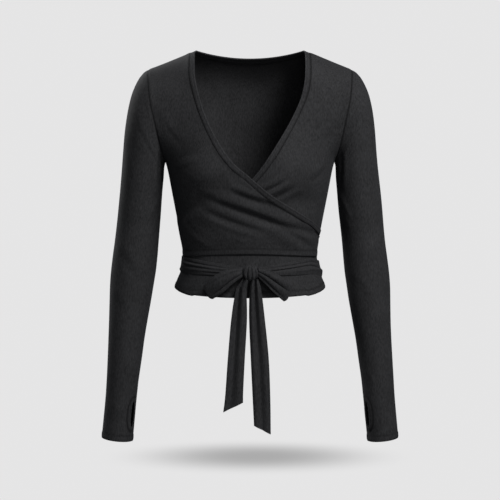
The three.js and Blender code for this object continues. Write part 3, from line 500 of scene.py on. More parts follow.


# %% [markdown]
# ## Jersey material
# The knit is a node group that gives colours, a roughness and a height. Fine ribs follow
# the cloth's own map, and two noises add the mottled yarn and a slow change of tone. Painted
# shade kept on each mesh darkens the colour along seams and stitch lines. A photograph of
# cloth would repeat or blur close up, and a node group does neither.

# %% The knit as a node group
YARN_SCALE, YARN_STRETCH = 600, (1.0, 1.0, 0.28)
YARN_LOW, YARN_HIGH = -0.14, 0.68
SLOW_SCALE, SLOW_SHARE = 22, 0.45
# The colour is multiplied towards this tone where the painted seam shade is full.
PAINTED_SEAM_SHADE_TONE = (0.3, 0.3, 0.3, 1)
SMOOTHEST, ROUGHEST = 0.8, 1.0
RIB_HEIGHT = 0.35


def node(tree, kind, **values):
    made = tree.nodes.new(kind)
    for name, value in values.items():
        setattr(made, name, value)
    return made


def knit_group():
    tree = bpy.data.node_groups.new("knit", "ShaderNodeTree")
    sockets = [("Dark", "NodeSocketColor"), ("Light", "NodeSocketColor"), ("Rib size", "NodeSocketFloat"),
               ("Rib turn", "NodeSocketFloat")]
    for name, kind in sockets:
        tree.interface.new_socket(name=name, in_out="INPUT", socket_type=kind)
    for name, kind in [("Color", "NodeSocketColor"), ("Roughness", "NodeSocketFloat"),
                       ("Height", "NodeSocketFloat")]:
        tree.interface.new_socket(name=name, in_out="OUTPUT", socket_type=kind)
    link = tree.links.new
    given = node(tree, "NodeGroupInput")
    result = node(tree, "NodeGroupOutput")
    place = node(tree, "ShaderNodeTexCoord")
    turned = node(tree, "ShaderNodeVectorRotate", rotation_type="Z_AXIS")
    link(place.outputs["UV"], turned.inputs["Vector"])
    link(given.outputs["Rib turn"], turned.inputs["Angle"])
    ribs = node(tree, "ShaderNodeTexWave", wave_type="BANDS", bands_direction="X")
    link(turned.outputs["Vector"], ribs.inputs["Vector"])
    link(given.outputs["Rib size"], ribs.inputs["Scale"])
    ribs.inputs["Distortion"].default_value = 0.6
    ribs.inputs["Detail"].default_value = 1.0
    streaked = node(tree, "ShaderNodeMapping")
    streaked.inputs["Scale"].default_value = YARN_STRETCH
    link(place.outputs["Object"], streaked.inputs["Vector"])
    yarn = node(tree, "ShaderNodeTexNoise")
    link(streaked.outputs["Vector"], yarn.inputs["Vector"])
    yarn.inputs["Scale"].default_value = YARN_SCALE
    yarn.inputs["Detail"].default_value = 3
    yarn.inputs["Roughness"].default_value = 0.6
    slow = node(tree, "ShaderNodeTexNoise")
    link(place.outputs["Object"], slow.inputs["Vector"])
    slow.inputs["Scale"].default_value = SLOW_SCALE
    slow.inputs["Detail"].default_value = 3
    blend = node(tree, "ShaderNodeMath", operation="MULTIPLY_ADD")
    link(slow.outputs["Fac"], blend.inputs[0])
    blend.inputs[1].default_value = SLOW_SHARE
    stretched = node(tree, "ShaderNodeMapRange")
    link(yarn.outputs["Fac"], stretched.inputs["Value"])
    stretched.inputs["From Min"].default_value = 0.3
    stretched.inputs["From Max"].default_value = 0.7
    stretched.inputs["To Min"].default_value = YARN_LOW
    stretched.inputs["To Max"].default_value = YARN_HIGH
    link(stretched.outputs["Result"], blend.inputs[2])
    colour = node(tree, "ShaderNodeMix", data_type="RGBA")
    link(blend.outputs[0], colour.inputs[0])
    link(given.outputs["Dark"], colour.inputs[6])
    link(given.outputs["Light"], colour.inputs[7])
    # Painted shade: the mesh attribute darkens the colour in seams, grooves and stitch lines, where real
    # shade would fall.
    painted_seam_read = node(tree, "ShaderNodeAttribute", attribute_name="painted_seam_shade")
    painted_seam_darkening = node(tree, "ShaderNodeMix", data_type="RGBA", blend_type="MULTIPLY")
    link(painted_seam_read.outputs["Fac"], painted_seam_darkening.inputs[0])
    link(colour.outputs[2], painted_seam_darkening.inputs[6])
    painted_seam_darkening.inputs[7].default_value = PAINTED_SEAM_SHADE_TONE
    link(painted_seam_darkening.outputs[2], result.inputs["Color"])
    rough = node(tree, "ShaderNodeMapRange")
    link(yarn.outputs["Fac"], rough.inputs["Value"])
    rough.inputs["To Min"].default_value = SMOOTHEST
    rough.inputs["To Max"].default_value = ROUGHEST
    link(rough.outputs["Result"], result.inputs["Roughness"])
    height = node(tree, "ShaderNodeMath", operation="MULTIPLY_ADD")
    link(ribs.outputs["Fac"], height.inputs[0])
    height.inputs[1].default_value = RIB_HEIGHT
    link(yarn.outputs["Fac"], height.inputs[2])
    link(height.outputs[0], result.inputs["Height"])
    return tree


KNIT = knit_group()
print("knit nodes", len(KNIT.nodes))

# %% [markdown]
# ## The four finishes
# The body, the binding and the ties are one black jersey with small changes of tone and
# rib, and the thread is a tone apart. Each could have nodes of its own, but one function
# with a few values keeps them alike. Sheen and gloss don't vary within a finish, so they
# sit on the shader.

# %% Materials
BUMP_DISTANCE = 0.0004
SHEEN_ROUGHNESS, SHEEN_TINT = 0.45, (0.8, 0.84, 0.92, 1)
SPECULAR_LEVEL = 0.12


def cloth_material(name, dark, light, rib_size, rib_turn, bump, sheen):
    material = bpy.data.materials.new(name)
    material.use_nodes = True
    tree = material.node_tree
    shader = tree.nodes["Principled BSDF"]
    knit = node(tree, "ShaderNodeGroup", node_tree=KNIT)
    knit.inputs["Dark"].default_value = (*dark, 1)
    knit.inputs["Light"].default_value = (*light, 1)
    knit.inputs["Rib size"].default_value = rib_size
    knit.inputs["Rib turn"].default_value = rib_turn
    raised = node(tree, "ShaderNodeBump")
    raised.inputs["Strength"].default_value = bump
    raised.inputs["Distance"].default_value = BUMP_DISTANCE
    tree.links.new(knit.outputs["Height"], raised.inputs["Height"])
    tree.links.new(knit.outputs["Color"], shader.inputs["Base Color"])
    tree.links.new(knit.outputs["Roughness"], shader.inputs["Roughness"])
    tree.links.new(raised.outputs["Normal"], shader.inputs["Normal"])
    shader.inputs["Sheen Weight"].default_value = sheen
    shader.inputs["Sheen Roughness"].default_value = SHEEN_ROUGHNESS
    shader.inputs["Sheen Tint"].default_value = SHEEN_TINT
    shader.inputs["Specular IOR Level"].default_value = SPECULAR_LEVEL
    return material


JERSEY = cloth_material("jersey", (0.010, 0.010, 0.0105), (0.032, 0.032, 0.0337), 250, 0, 0.35, 0.02)
BINDING = cloth_material("binding", (0.011, 0.011, 0.0116), (0.036, 0.036, 0.038), 130, 0.7, 0.5, 0.03)
TIE = cloth_material("tie", (0.010, 0.010, 0.0105), (0.032, 0.032, 0.0337), 250, 0, 0.35, 0.02)
THREAD = cloth_material("thread", (0.009, 0.009, 0.0095), (0.020, 0.020, 0.0211), 300, 0.5, 0.3, 0.01)
print("materials", [m.name for m in (JERSEY, BINDING, TIE, THREAD)])

# %% [markdown]
# ## Sewing
# Stitches are small rounded bars, all of one row joined in one mesh. `line_from_edge`
# finds the line that lies a given distance inside an edge of a cloth grid. Stitches could
# be drawn by bump alone, but real bars catch the light and stay in the exported mesh.

# %% Stitches and lines beside edges
BAR_SIDES = 6
BAR_RINGS = ((-0.5, 0.35), (-0.3, 1.0), (0.3, 1.0), (0.5, 0.35))
BAR_FLATNESS = 0.7


def line_from_edge(points, distance):
    steps = np.linalg.norm(np.diff(points, axis=0), axis=2)
    lengths = np.concatenate([np.zeros((1, points.shape[1])), np.cumsum(steps, 0)])
    line = []
    for j in range(points.shape[1]):
        line.append([np.interp(distance, lengths[:, j], points[:, j, k]) for k in range(3)])
    return np.array(line)


def bars(line, outward, pitch, length, thick):
    steps = np.linalg.norm(np.diff(line, axis=0), axis=1)
    lengths = np.concatenate([[0], np.cumsum(steps)])
    count = int(lengths[-1] / pitch)
    at = (np.arange(count) + 0.5) * pitch
    middle = np.stack([np.interp(at, lengths, line[:, k]) for k in range(3)], -1)
    ahead = np.stack([np.interp(at + 0.5, lengths, line[:, k]) for k in range(3)], -1)
    along = unit(ahead - np.stack([np.interp(at - 0.5, lengths, line[:, k]) for k in range(3)], -1))
    up = unit(np.stack([np.interp(at, lengths, outward[:, k]) for k in range(3)], -1))
    across = unit(np.cross(along, up))
    corners = []
    for end, girth in BAR_RINGS:
        for k in range(BAR_SIDES):
            turn = 2 * np.pi * k / BAR_SIDES
            reach = (across * math.cos(turn) + up * BAR_FLATNESS * math.sin(turn)) * girth * thick / 2
            corners.append(middle + along * end * length + reach)
    vertices = np.stack(corners, 1)
    faces = []
    for ring in range(len(BAR_RINGS) - 1):
        for k in range(BAR_SIDES):
            a = ring * BAR_SIDES + k
            b = ring * BAR_SIDES + (k + 1) % BAR_SIDES
            faces.append([a, b, b + BAR_SIDES, a + BAR_SIDES])
    for base in (0, (len(BAR_RINGS) - 1) * BAR_SIDES):
        faces.append([base, base + 1, base + 2, base + 3])
        faces.append([base, base + 3, base + 4, base + 5])
    faces = np.array(faces)
    starts = np.arange(count) * len(BAR_RINGS) * BAR_SIDES
    all_faces = (faces[None] + starts[:, None, None]).reshape(-1, 4)
    return vertices.reshape(-1, 3), all_faces


def stitches(name, rows, pitch=3.0, length=2.4, thick=0.55):
    vertices, faces, start = [], [], 0
    for line, outward in rows:
        made, made_faces = bars(line, outward, pitch, length, thick)
        vertices.append(made)
        faces.append(made_faces + start)
        start += len(made)
    vertices = np.concatenate(vertices)
    faces = np.concatenate(faces)
    corner_map = vertices[faces.reshape(-1)][:, [0, 2]] * MM
    made = make_mesh(name, vertices * MM, faces, corner_map, THREAD)
    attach(made, "root")
    return made


def seated(made, node_name):
    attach(made, "root")
    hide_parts(node_name)
    print(made.name, "area", round(wall_area(made), 4), "m2,", len(made.data.polygons), "faces")
    return made


# %% [markdown]
# ## The two fronts
# Both fronts share one shape. A row starts on the armhole or the side seam and ends on the
# neck edge or at the far side. The grid is read at fine steps, and the inner front is the
# mirror image of the same shape with its own hem and end. Where it lies under the lapping
# front it is pressed in below that front's folds, as the two layers are in wear.

# %% Fronts
ARMHOLE_STEPS = 11
NECK_ROWS = 17
WRAP = {
    "hem": -357.0, "side": 9, "neck_end": 1.0, "edge": OUTER_EDGE,
    "hem_x": [0, 35, 77, 101, 112, 121], "hem_z": [-347.8, -348.8, -351.2, -353.6, -355.4, -357],
}
INNER = {
    "hem": -410.0, "side": 12, "neck_end": INNER_NECK_END, "edge": INNER_EDGE,
    "hem_x": [0, 45, 87, 105, 118, 126, 132], "hem_z": [-421.6, -421, -419.2, -417.3, -414.8, -412.4, -410],
}
UNDER_BINDING = 1.2
PANEL_INSET = BINDING_WIDTH - UNDER_BINDING
OVERLAP_LIFT = 4.3
LAP_GAP = 0.3
LAP_START, LAP_RUN = 40, 38
SETTLE_Z, SETTLE_RUN, SETTLED_SHARE = -318, 30, 0.46
PRESS_START, PRESS_RUN = 4, 10
PRESS_END_Z, PRESS_END_RUN = -350, 8
OPENING_Z, OPENING_RUN = -326, 22
BEHIND_ANGLE, BEHIND_RUN, BEHIND_DEPTH = 0.5, 0.3, 2.0
BEHIND_END_Z, BEHIND_END_RUN = -364, 8
FRONT_GRID = (170, 120)
WRAP_SEED, UNDER_SEED = 11, 12
UNEVEN_SIZE, UNEVEN_HEIGHT = 120, 0.55
SEAM_FADE, FREE_FADE, PART_FADE, HEM_FADE = 16, 12, 14, 24
HEM_WIDTH = 10.0
FRONT_FOLDS = [
    (-96, -240, 40, -286, 6, 24, -3.0),
    (-88, -237, 118, -306, 2, 10, 4.4),
    (-78, -251, 118, -319, 2, 6, -3.8),
    (-78, -260, 92, -324, 4, 10, 3.0),
    (-40, -226, 34, -254, 3, 8, 2.8),
    (-38, -237, 38, -264, 3, 6, -2.6),
    (-14, -220, 40, -244, 2, 5, 2.0),
    (-84, -268, 30, -310, 5, 6, -2.6),
    (-80, -280, 24, -320, 5, 10, 2.4),
    (-66, -292, 20, -324, 4, 5, -1.2),
    (36, -290, 108, -330, -4, 7, 2.2),
    (44, -304, 106, -342, -4, 5, -1.6),
    (40, -318, 100, -350, -3, 7, 1.6),
    (-104, -296, -60, -338, 4, 8, 1.6),
    (-108, -288, -66, -330, 4, 5, -1.2),
    (-100, -222, -60, -212, 4, 10, 1.2),
    (-122, -206, -86, -186, -4, 6, 1.6),
    (-126, -196, -92, -176, -4, 4, -1.1),
    (-112, -172, -66, -148, -4, 10, 0.9),
    (-152, -96, -118, -152, 6, 9, 1.4),
    (-146, -118, -112, -166, 5, 5, -0.9),
]
INNER_FOLDS = [
    (30, -262, 116, -262, -4, 18, -5.4),
    (14, -236, 58, -214, 3, 5, 2.0),
    (18, -243, 64, -219, 3, 3, -1.9),
    (22, -249, 72, -222, 3, 5, 2.0),
    (30, -258, 80, -230, 3, 4, -1.6),
    (40, -262, 88, -236, 3, 6, 1.5),
    (96, -216, 128, -190, 3, 7, 1.6),
    (100, -226, 130, -200, 3, 4, -1.1),
    (152, -96, 120, -152, -6, 9, 1.4),
    (146, -118, 114, -166, -5, 5, -0.9),
    (60, -150, 104, -172, -4, 10, 0.9),
    (-4, -404, 2, -350, 0, 7, 1.8),
    (44, -396, 54, -428, 0, 9, 1.0),
    (-48, -396, -58, -428, 0, 9, 1.0),
]


def armhole_z(share):
    return mix(TIP_Z, ARMPIT_Z, (1 - np.cos(np.pi * share)) / 2)


print("front folds", len(FRONT_FOLDS), "over and", len(INNER_FOLDS), "under")

# %% [markdown]
# ## Where each row of a front runs
# Rows could be cut from a flat pattern and wrapped round. Laying them on the body between
# two known ends is surer, as the lines where they end are given.

# %% Rows of the fronts
def far_of_wrap(share):
    angle, drop = beside_neck(OUTER_EDGE, 1.0, PANEL_INSET)
    z = mix(height_at(angle, drop), WRAP["hem"], share)
    return np.full_like(share, np.pi - SEAM_ANGLE), side_drop(z)


def far_of_inner(share):
    under_drop = neck_curve(INNER_EDGE, INNER_NECK_END)[1]
    start = height_at(np.array(np.pi - TUCKED_ANGLE), under_drop) - BINDING_WIDTH
    z = mix(start, INNER["hem"], share)
    opening = smooth_step((OPENING_Z - z) / OPENING_RUN)
    angle = np.pi - mix(TUCKED_ANGLE, SEAM_ANGLE, opening)
    return angle, shoulder_height(half_width(z) * spread(angle, z)) - z


def front_places(shape, far, row_count, column_count):
    last = ARMHOLE_STEPS + shape["side"]
    at = np.linspace(0, last, row_count)
    on_armhole = at < ARMHOLE_STEPS
    side_share = (at - ARMHOLE_STEPS) / shape["side"]
    start_z = np.where(on_armhole, armhole_z(np.minimum(1, at / ARMHOLE_STEPS)),
                       mix(ARMPIT_Z, shape["hem"], np.maximum(0, side_share)))
    start_angle = np.where(on_armhole, 0, SEAM_ANGLE)
    start_drop = side_drop(start_z)
    neck_share = even_on_neck(shape["edge"], shape["neck_end"], np.minimum(1, at / NECK_ROWS))
    end_angle, end_drop = beside_neck(shape["edge"], neck_share, PANEL_INSET)
    far_share = np.maximum(0, at - NECK_ROWS) / (last - NECK_ROWS)
    far_angle, far_drop = far(far_share)
    past = at > NECK_ROWS
    blend = smooth_step((at - NECK_ROWS) / 0.6) * past
    end_angle = np.where(past, mix(end_angle, far_angle, blend), end_angle)
    end_drop = np.where(past, mix(end_drop, far_drop, blend), end_drop)
    share = gathered_steps(column_count)
    angle = mix(start_angle[:, None], end_angle[:, None], share[None])
    drop = mix(start_drop[:, None], end_drop[:, None], share[None])
    low_edge = skin_by_drop("front", angle[-1:], drop[-1:])[0]
    wanted = np.interp(np.abs(low_edge[:, 0]), shape["hem_x"], shape["hem_z"])
    drop = drop + (low_edge[:, 2] - wanted)[None] * smooth_step(far_share)[:, None]
    return angle, drop


print("front grid", FRONT_GRID)

# %% [markdown]
# ## One layer over the other
# The lapping front stands off the body by the cloth beneath it, and that cloth gives way
# below its folds. Cloth collision could find this. Two short formulas are used, since they
# give the same shape each time.

# %% Overlap
def overlap_lift(points, angle):
    under = -smooth_curve(INNER_EDGE[1][1:], INNER_EDGE[0][1:], points[..., 2])
    reached = smooth_step((points[..., 0] - under + LAP_START) / LAP_RUN)
    near_side = smooth_step(np.minimum(angle, np.pi - angle) / (TUCKED_ANGLE - 0.03))
    settled = mix(1, SETTLED_SHARE, smooth_step((SETTLE_Z - points[..., 2]) / SETTLE_RUN))
    return OVERLAP_LIFT * settled * np.minimum(reached, near_side)


def pressed_in(points, angle, rise):
    """How far the inner front gives way to the folds of the lapping front over it."""
    x, z = -points[..., 0], points[..., 2]
    over = points * np.array([-1.0, 1.0, 1.0])
    folds = fold_field(x, z, FRONT_FOLDS) + uneven(x, z, WRAP_SEED, UNEVEN_SIZE, UNEVEN_HEIGHT)
    room = folds + overlap_lift(over, angle) - WALL - LAP_GAP
    edge_x = np.interp(z, OUTER_EDGE[1][::-1], OUTER_EDGE[0][::-1])
    past_edge = smooth_step((edge_x - x - PRESS_START) / PRESS_RUN)
    beneath = past_edge * smooth_step((z - PRESS_END_Z) / PRESS_END_RUN)
    return beneath * np.maximum(0, rise - room)


print("the lap stands off by", OVERLAP_LIFT, "mm and aims at a gap of", LAP_GAP, "mm")

# %% [markdown]
# ## Hems and seams
# A hem is cloth folded twice, so it is thicker, and its stitch line pulls in. A seam is a
# narrow dip. Modelled relief is used, since bump alone leaves the outline smooth. The dips
# are too narrow to shade themselves, so painted shade darkens the colour along them.

# %% Hems, seams and softening
FOLDED_HEIGHT, FOLDED_RUN = 0.6, 1.6
PULLED_DEPTH, PULLED_RUN = 0.5, 1.5
ROLLED_DEPTH, ROLLED_RUN = 0.5, 1.4
# The last value is the width of the painted shade along a seam or stitch line.
SEAM_DEPTH, SEAM_RUN, PAINTED_SEAM_SHADE_RUN = 0.9, 2.4, 1.5


def edge_distance(points):
    first = np.linalg.norm(points - points[:, :1], axis=2)
    last = np.linalg.norm(points - points[:, -1:], axis=2)
    return first, last


def hem_profile(distance):
    folded = FOLDED_HEIGHT * (1 - smooth_step((distance - HEM_WIDTH) / FOLDED_RUN))
    pulled = PULLED_DEPTH * np.exp(-(((distance - HEM_WIDTH) / PULLED_RUN) ** 2))
    rolled = ROLLED_DEPTH * np.exp(-((distance / ROLLED_RUN) ** 2))
    return folded - pulled - rolled


def from_hem(points):
    steps = np.linalg.norm(np.diff(points[::-1], axis=0), axis=2)
    lengths = np.concatenate([np.zeros((1, points.shape[1])), np.cumsum(steps, 0)])
    return lengths[::-1]


def seam_dip(distance):
    return -SEAM_DEPTH * np.exp(-((distance / SEAM_RUN) ** 2))


# Painted shade: the colour darkens along a seam or stitch line, in place of the shade in its narrow dip.
def painted_seam_shade(distance):
    return np.exp(-((distance / PAINTED_SEAM_SHADE_RUN) ** 2))


def softened(points, keep, rounds=36):
    """The same grid with small bends smoothed away where keep is 1."""
    for _ in range(rounds):
        inner = (points[:-2] + 2 * points[1:-1] + points[2:]) / 4
        points[1:-1] = mix(points[1:-1], inner, keep[1:-1, :, None])
    return points


print("hem", HEM_WIDTH, "mm wide")

# %% [markdown]
# ## Building the two fronts
# Every step so far comes together: the rows, the folds, the lap, the seams and the hem.
# One function makes both fronts, so that their seams and thickness always agree.

# %% Both fronts
def inner_part(points):
    """One inside a panel, and falling to zero at its two ends and its top."""
    first, last = edge_distance(points)
    top = np.linalg.norm(points - points[:1], axis=2)
    return smooth_step(first / PART_FADE) * smooth_step(last / PART_FADE) * smooth_step(top / PART_FADE)


def front(name, shape, far, side, folds, seed):
    angle, drop = front_places(shape, far, *FRONT_GRID)
    points = skin_by_drop("front", angle, drop)
    points = softened(points, inner_part(points) * smooth_step(from_hem(points) / HEM_FADE))
    normals = grid_normals(points, False, sideways(points))
    from_start, from_end = edge_distance(points)
    field = smooth_step(from_start / SEAM_FADE) * smooth_step(from_end / FREE_FADE)
    mirror = 1 if side > 0 else -1
    x, z = points[..., 0] * mirror, points[..., 2]
    hem = from_hem(points)
    rise = fold_field(x, z, folds) * field
    rise += uneven(x, z, seed, UNEVEN_SIZE, UNEVEN_HEIGHT) * field
    if side > 0:
        rise += overlap_lift(points, angle)
    else:
        behind = smooth_step((angle - np.pi + BEHIND_ANGLE) / BEHIND_RUN)
        behind = behind * smooth_step((points[..., 2] - BEHIND_END_Z) / BEHIND_END_RUN)
        rise -= BEHIND_DEPTH * behind
        rise -= pressed_in(points, angle, rise) * smooth_step(from_start / SEAM_FADE)
    thickness = WALL + hem_profile(hem)
    top = np.linalg.norm(points - points[:1], axis=2)
    rise += seam_dip(from_start) + seam_dip(top) + 0.6 * seam_dip(from_end)
    # Painted shade along the armhole and side seam, the shoulder seam, the hem stitch line and just inside
    # the free edge beside the binding.
    painted_shade = painted_seam_shade(from_start) + 0.8 * painted_seam_shade(top) + 0.5 * painted_seam_shade(hem - HEM_WIDTH)
    painted_shade = painted_shade + painted_seam_shade(from_end - 2.0)
    points = points + normals * rise[..., None]
    points[0, :, 1] = -SEAM_GAP / 2
    points[..., 0] *= mirror
    normals[..., 0] *= mirror
    made = shell(name, points, normals, thickness, JERSEY, painted_shade=painted_shade)
    return made, points, normals, thickness


front_right, wrap_points, wrap_normals, wrap_thick = front("front_right_cloth", WRAP, far_of_wrap, 1,
                                                           FRONT_FOLDS, WRAP_SEED)
seated(front_right, "front_right")
front_left, under_points, under_normals, under_thick = front("front_left_cloth", INNER, far_of_inner, -1,
                                                             INNER_FOLDS, UNDER_SEED)
seated(front_left, "front_left")

# %% [markdown]
# ## The back
# The back hangs from the two shoulder seams and the shallow back neckline. Soft drag lines
# run from the shoulder blades to the waist tie, where the cloth is gathered. It could be
# two halves with a seam. One piece is the plainer guess, as the back isn't seen.

# %% Back
BACK_SHOULDER = 5
BACK_NECK = 14
BACK_SIDE = 12
BACK_HEM = -410.0
BACK_GRID = (170, 201)
BACK_FOLD_SHARE = 1.9
BACK_SEED, BACK_UNEVEN = 13, 0.6
TIED_Z, TIED_RUN, TIED_RISE = -368, 20, 0.3
BACK_FOLDS = [
    (-120, -170, -40, -350, 8, 13, 1.8),
    (118, -160, 46, -350, -7, 13, 1.8),
    (-20, -250, -6, -352, 3, 10, 1.6),
    (26, -236, 12, -350, -3, 9, 1.4),
    (-92, -300, -60, -356, 4, 8, 1.5),
    (90, -296, 62, -356, -4, 8, 1.5),
    (-60, -60, -110, -130, -8, 16, 1.2),
    (60, -60, 112, -130, 8, 16, 1.2),
    (-46, -378, -54, -412, 0, 8, 1.3),
    (4, -378, 6, -412, 0, 8, 1.2),
    (52, -378, 60, -412, 0, 8, 1.3),
    (-92, -378, -104, -412, 0, 9, 1.2),
    (92, -378, 104, -412, 0, 9, 1.2),
    (-104, -232, -52, -292, 5, 8, 1.3),
    (102, -226, 50, -288, -5, 8, 1.3),
    (-70, -318, -14, -340, 4, 7, 1.1),
    (74, -322, 18, -344, -4, 7, 1.1),
]


def back_neck_place(turn, inset):
    x = -(NECK_HALF + inset) * np.cos(turn)
    drop = BACK_NECK_DIP * np.sin(turn) ** 2 + inset * np.sin(turn)
    return angle_at(x, shoulder_height(x) - drop), drop


def back_places(row_count, column_count):
    columns = 2 * BACK_SHOULDER + BACK_NECK
    at = np.linspace(0, columns, column_count)
    inset = PANEL_INSET
    mirrored = at > columns / 2
    near = np.where(mirrored, columns - at, at)
    turn = np.pi * np.maximum(0, near - BACK_SHOULDER) / BACK_NECK
    neck_angle, neck_drop = back_neck_place(turn, inset)
    first_angle = back_neck_place(np.zeros(1), inset)[0][0]
    on_shoulder = near < BACK_SHOULDER
    top_angle = np.where(on_shoulder, first_angle * near / BACK_SHOULDER, neck_angle)
    top_drop = np.where(on_shoulder, 0, neck_drop)
    top_angle = np.where(mirrored, np.pi - top_angle, top_angle)
    last = ARMHOLE_STEPS + BACK_SIDE
    row = np.linspace(0, last, row_count)
    z = np.where(row <= ARMHOLE_STEPS, armhole_z(np.minimum(1, row / ARMHOLE_STEPS)),
                 mix(ARMPIT_Z, BACK_HEM, np.maximum(0, row - ARMHOLE_STEPS) / BACK_SIDE))
    down = (side_drop(z) / side_drop(BACK_HEM))[:, None]
    even = np.pi * at / columns
    bottom_z = BACK_HEM - 3 * np.sin(even) ** 2
    bottom_drop = shoulder_height(half_width(bottom_z) * spread(even, bottom_z)) - bottom_z
    angle = mix(top_angle[None], even[None], smooth_step(down * 1.6))
    return angle, mix(top_drop[None], bottom_drop[None], down), on_shoulder


back_angle, back_drop, on_shoulder = back_places(*BACK_GRID)
back_points = skin_by_drop("back", back_angle, back_drop)
back_keep = inner_part(back_points) * smooth_step(from_hem(back_points) / HEM_FADE)
back_points = softened(back_points, back_keep)
back_normals = grid_normals(back_points, False, sideways(back_points))
from_right, from_left = edge_distance(back_points)
from_top = np.linalg.norm(back_points - back_points[:1], axis=2)
back_field = smooth_step(from_right / SEAM_FADE) * smooth_step(from_left / SEAM_FADE)
back_field = back_field * smooth_step(from_top / PART_FADE)
back_rise = BACK_FOLD_SHARE * fold_field(back_points[..., 0], back_points[..., 2], BACK_FOLDS) * back_field
back_waves = uneven(back_points[..., 0], back_points[..., 2], BACK_SEED, UNEVEN_SIZE, BACK_UNEVEN)
back_rise += back_waves * back_field
back_rise += seam_dip(from_right) + seam_dip(from_left) + seam_dip(from_top)
waist_keep = np.exp(-(((back_points[..., 2] - TIED_Z) / TIED_RUN) ** 2))
back_rise = np.minimum(back_rise, mix(back_rise, TIED_RISE, waist_keep))
back_thick = WALL + hem_profile(from_hem(back_points))
back_points = back_points + back_normals * back_rise[..., None]
back_points[0, on_shoulder, 1] = SEAM_GAP / 2
# Painted shade along both side seams, the shoulder and neck edge and the hem stitch line.
back_painted_shade = painted_seam_shade(from_right) + painted_seam_shade(from_left) + 0.8 * painted_seam_shade(from_top)
back_painted_shade = back_painted_shade + 0.5 * painted_seam_shade(from_hem(back_points) - HEM_WIDTH)
back = shell("back_cloth", back_points, back_normals, back_thick, JERSEY, painted_shade=back_painted_shade)
seated(back, "back")

# %% [markdown]
# ## Sleeves
# A sleeve is a row of rings from the armhole to the cuff. A tube swept along a curve would
# not meet the armhole, so each ring is given by its outer and inner line and its depth.

# %% Sleeves
SLEEVE_OUT_X = [184, 191, 198, 204.5, 209.5, 213.5, 217, 219.8, 222.5, 225.5, 228.5, 231.6, 235.4,
                239.4, 242.6, 244.4, 245, 245.6, 246.8, 248.6, 250.6, 251.8, 252.6, 253.4, 254.4,
                255.4, 256.2, 256.9, 257.4]
SLEEVE_OUT_Z = [-39.2, -47.6, -60, -76, -95, -117, -143, -172, -202, -234, -266, -298, -330, -358,
                -384, -408, -436, -470, -505, -540, -575, -596, -608, -619, -632, -645, -655, -664,
                -672]
SLEEVE_IN_X = [148.8, 149.8, 150.2, 150.4, 150.6, 150.8, 151.3, 152.2, 153.4, 154.8, 156.6, 159,
               161.6, 163.8, 166.4, 170, 174.2, 180.2, 186.2, 191, 195.8, 198, 199.2, 200.2, 201.4,
               202.6, 203.6, 204.6, 205.4]
SLEEVE_IN_Z = [-195, -199, -203, -207, -211, -216, -223, -232, -245, -262, -283, -306, -332, -358,
               -384, -408, -435, -468, -502, -537, -571, -592, -604, -615, -629, -643, -654, -665,
               -678]
SLEEVE_HALF = [55.5, 55, 54.5, 54, 53, 52, 51, 50, 48.5, 47, 45.5, 44.5, 44, 43.5, 43, 42, 40, 38,
               36, 34, 32, 31, 30.5, 30, 29.5, 29, 28.6, 28.3, 28]
SLEEVE_Y = [1, 1, 1, 1, 2, 2, 3, 4, 5, 6, 7, 8, 8, 7, 5, 3, 0, -4, -8, -12, -16, -18, -19, -20, -21,
            -22, -23, -24, -25]
SLEEVE_ROWS = np.arange(1, 30)
BOW_ROWS = 8


def armhole_ring(angle):
    face_angle = np.where(angle <= np.pi, angle, 2 * np.pi - angle)
    z = armhole_z(face_angle / np.pi)
    ahead = skin_by_drop("front", np.zeros_like(z), side_drop(z))
    behind = skin_by_drop("back", np.zeros_like(z), side_drop(z))
    return np.where((angle <= np.pi)[..., None], ahead, behind)


def sleeve_surface(row, angle):
    """Points of the wearer's right sleeve at ring places and angles of one shape."""
    angle = np.mod(angle, 2 * np.pi)

    def read(values):
        return smooth_curve(SLEEVE_ROWS, values, row)

    ring = armhole_ring(angle)
    armpit_half = half_width(ARMPIT_Z)
    straight = mix(armpit_half, SHOULDER_HALF, (ring[..., 2] - ARMPIT_Z) / (TIP_Z - ARMPIT_Z))
    bow = (-ring[..., 0] - straight) * np.maximum(0, 1 - row / BOW_ROWS)
    middle_x = (read(SLEEVE_OUT_X) + read(SLEEVE_IN_X)) / 2
    middle_z = (read(SLEEVE_OUT_Z) + read(SLEEVE_IN_Z)) / 2
    reach_x = read(SLEEVE_OUT_X) - middle_x
    reach_z = read(SLEEVE_OUT_Z) - middle_z
    x = -(middle_x + reach_x * np.cos(angle)) - bow
    z = middle_z + reach_z * np.cos(angle)
    y = read(SLEEVE_Y) - read(SLEEVE_HALF) * np.sin(angle)
    out = np.stack([x, y, z], -1)
    return mix(ring, out, smooth_step(np.minimum(1, row))[..., None])


print("sleeve rings", len(SLEEVE_ROWS), "and the cuff at", SLEEVE_OUT_Z[-1], "mm")

# %% [markdown]
# ## Thumb holes
# Each cuff has a narrow slit for the thumb, with a raised band and a stitched ring round
# it, a shallow dip darkened by painted shade. A Boolean cut would break the even grid, so
# the columns part round the slit and a few cells are left out instead.

# %% Thumb hole
HOLE_ANGLE = 2.6
HOLE_FIRST, HOLE_LAST = 23.3, 26.9
HOLE_HALF = 0.17
HOLE_REACH = 1.0
HOLE_BAND_ANGLE, HOLE_BAND_ROWS = 0.44, 2.45


def hole_half(row):
    middle, reach = (HOLE_FIRST + HOLE_LAST) / 2, (HOLE_LAST - HOLE_FIRST) / 2
    return HOLE_HALF * np.sqrt(np.maximum(0, 1 - ((row - middle) / reach) ** 2))


def hole_band(row, off):
    """Zero at the middle of the thumb hole and one on the stitch line round it."""
    middle = (HOLE_FIRST + HOLE_LAST) / 2
    return np.hypot(off / HOLE_BAND_ANGLE, (row - middle) / HOLE_BAND_ROWS)


print("thumb slit from ring", HOLE_FIRST, "to", HOLE_LAST)

# %% [markdown]
# ## Both sleeves
# Creases are deepest at the armpit and the elbow, and weaker towards the cuff. One sleeve
# could be a plain mirror image, but two alike look made by machine, so each has its own.

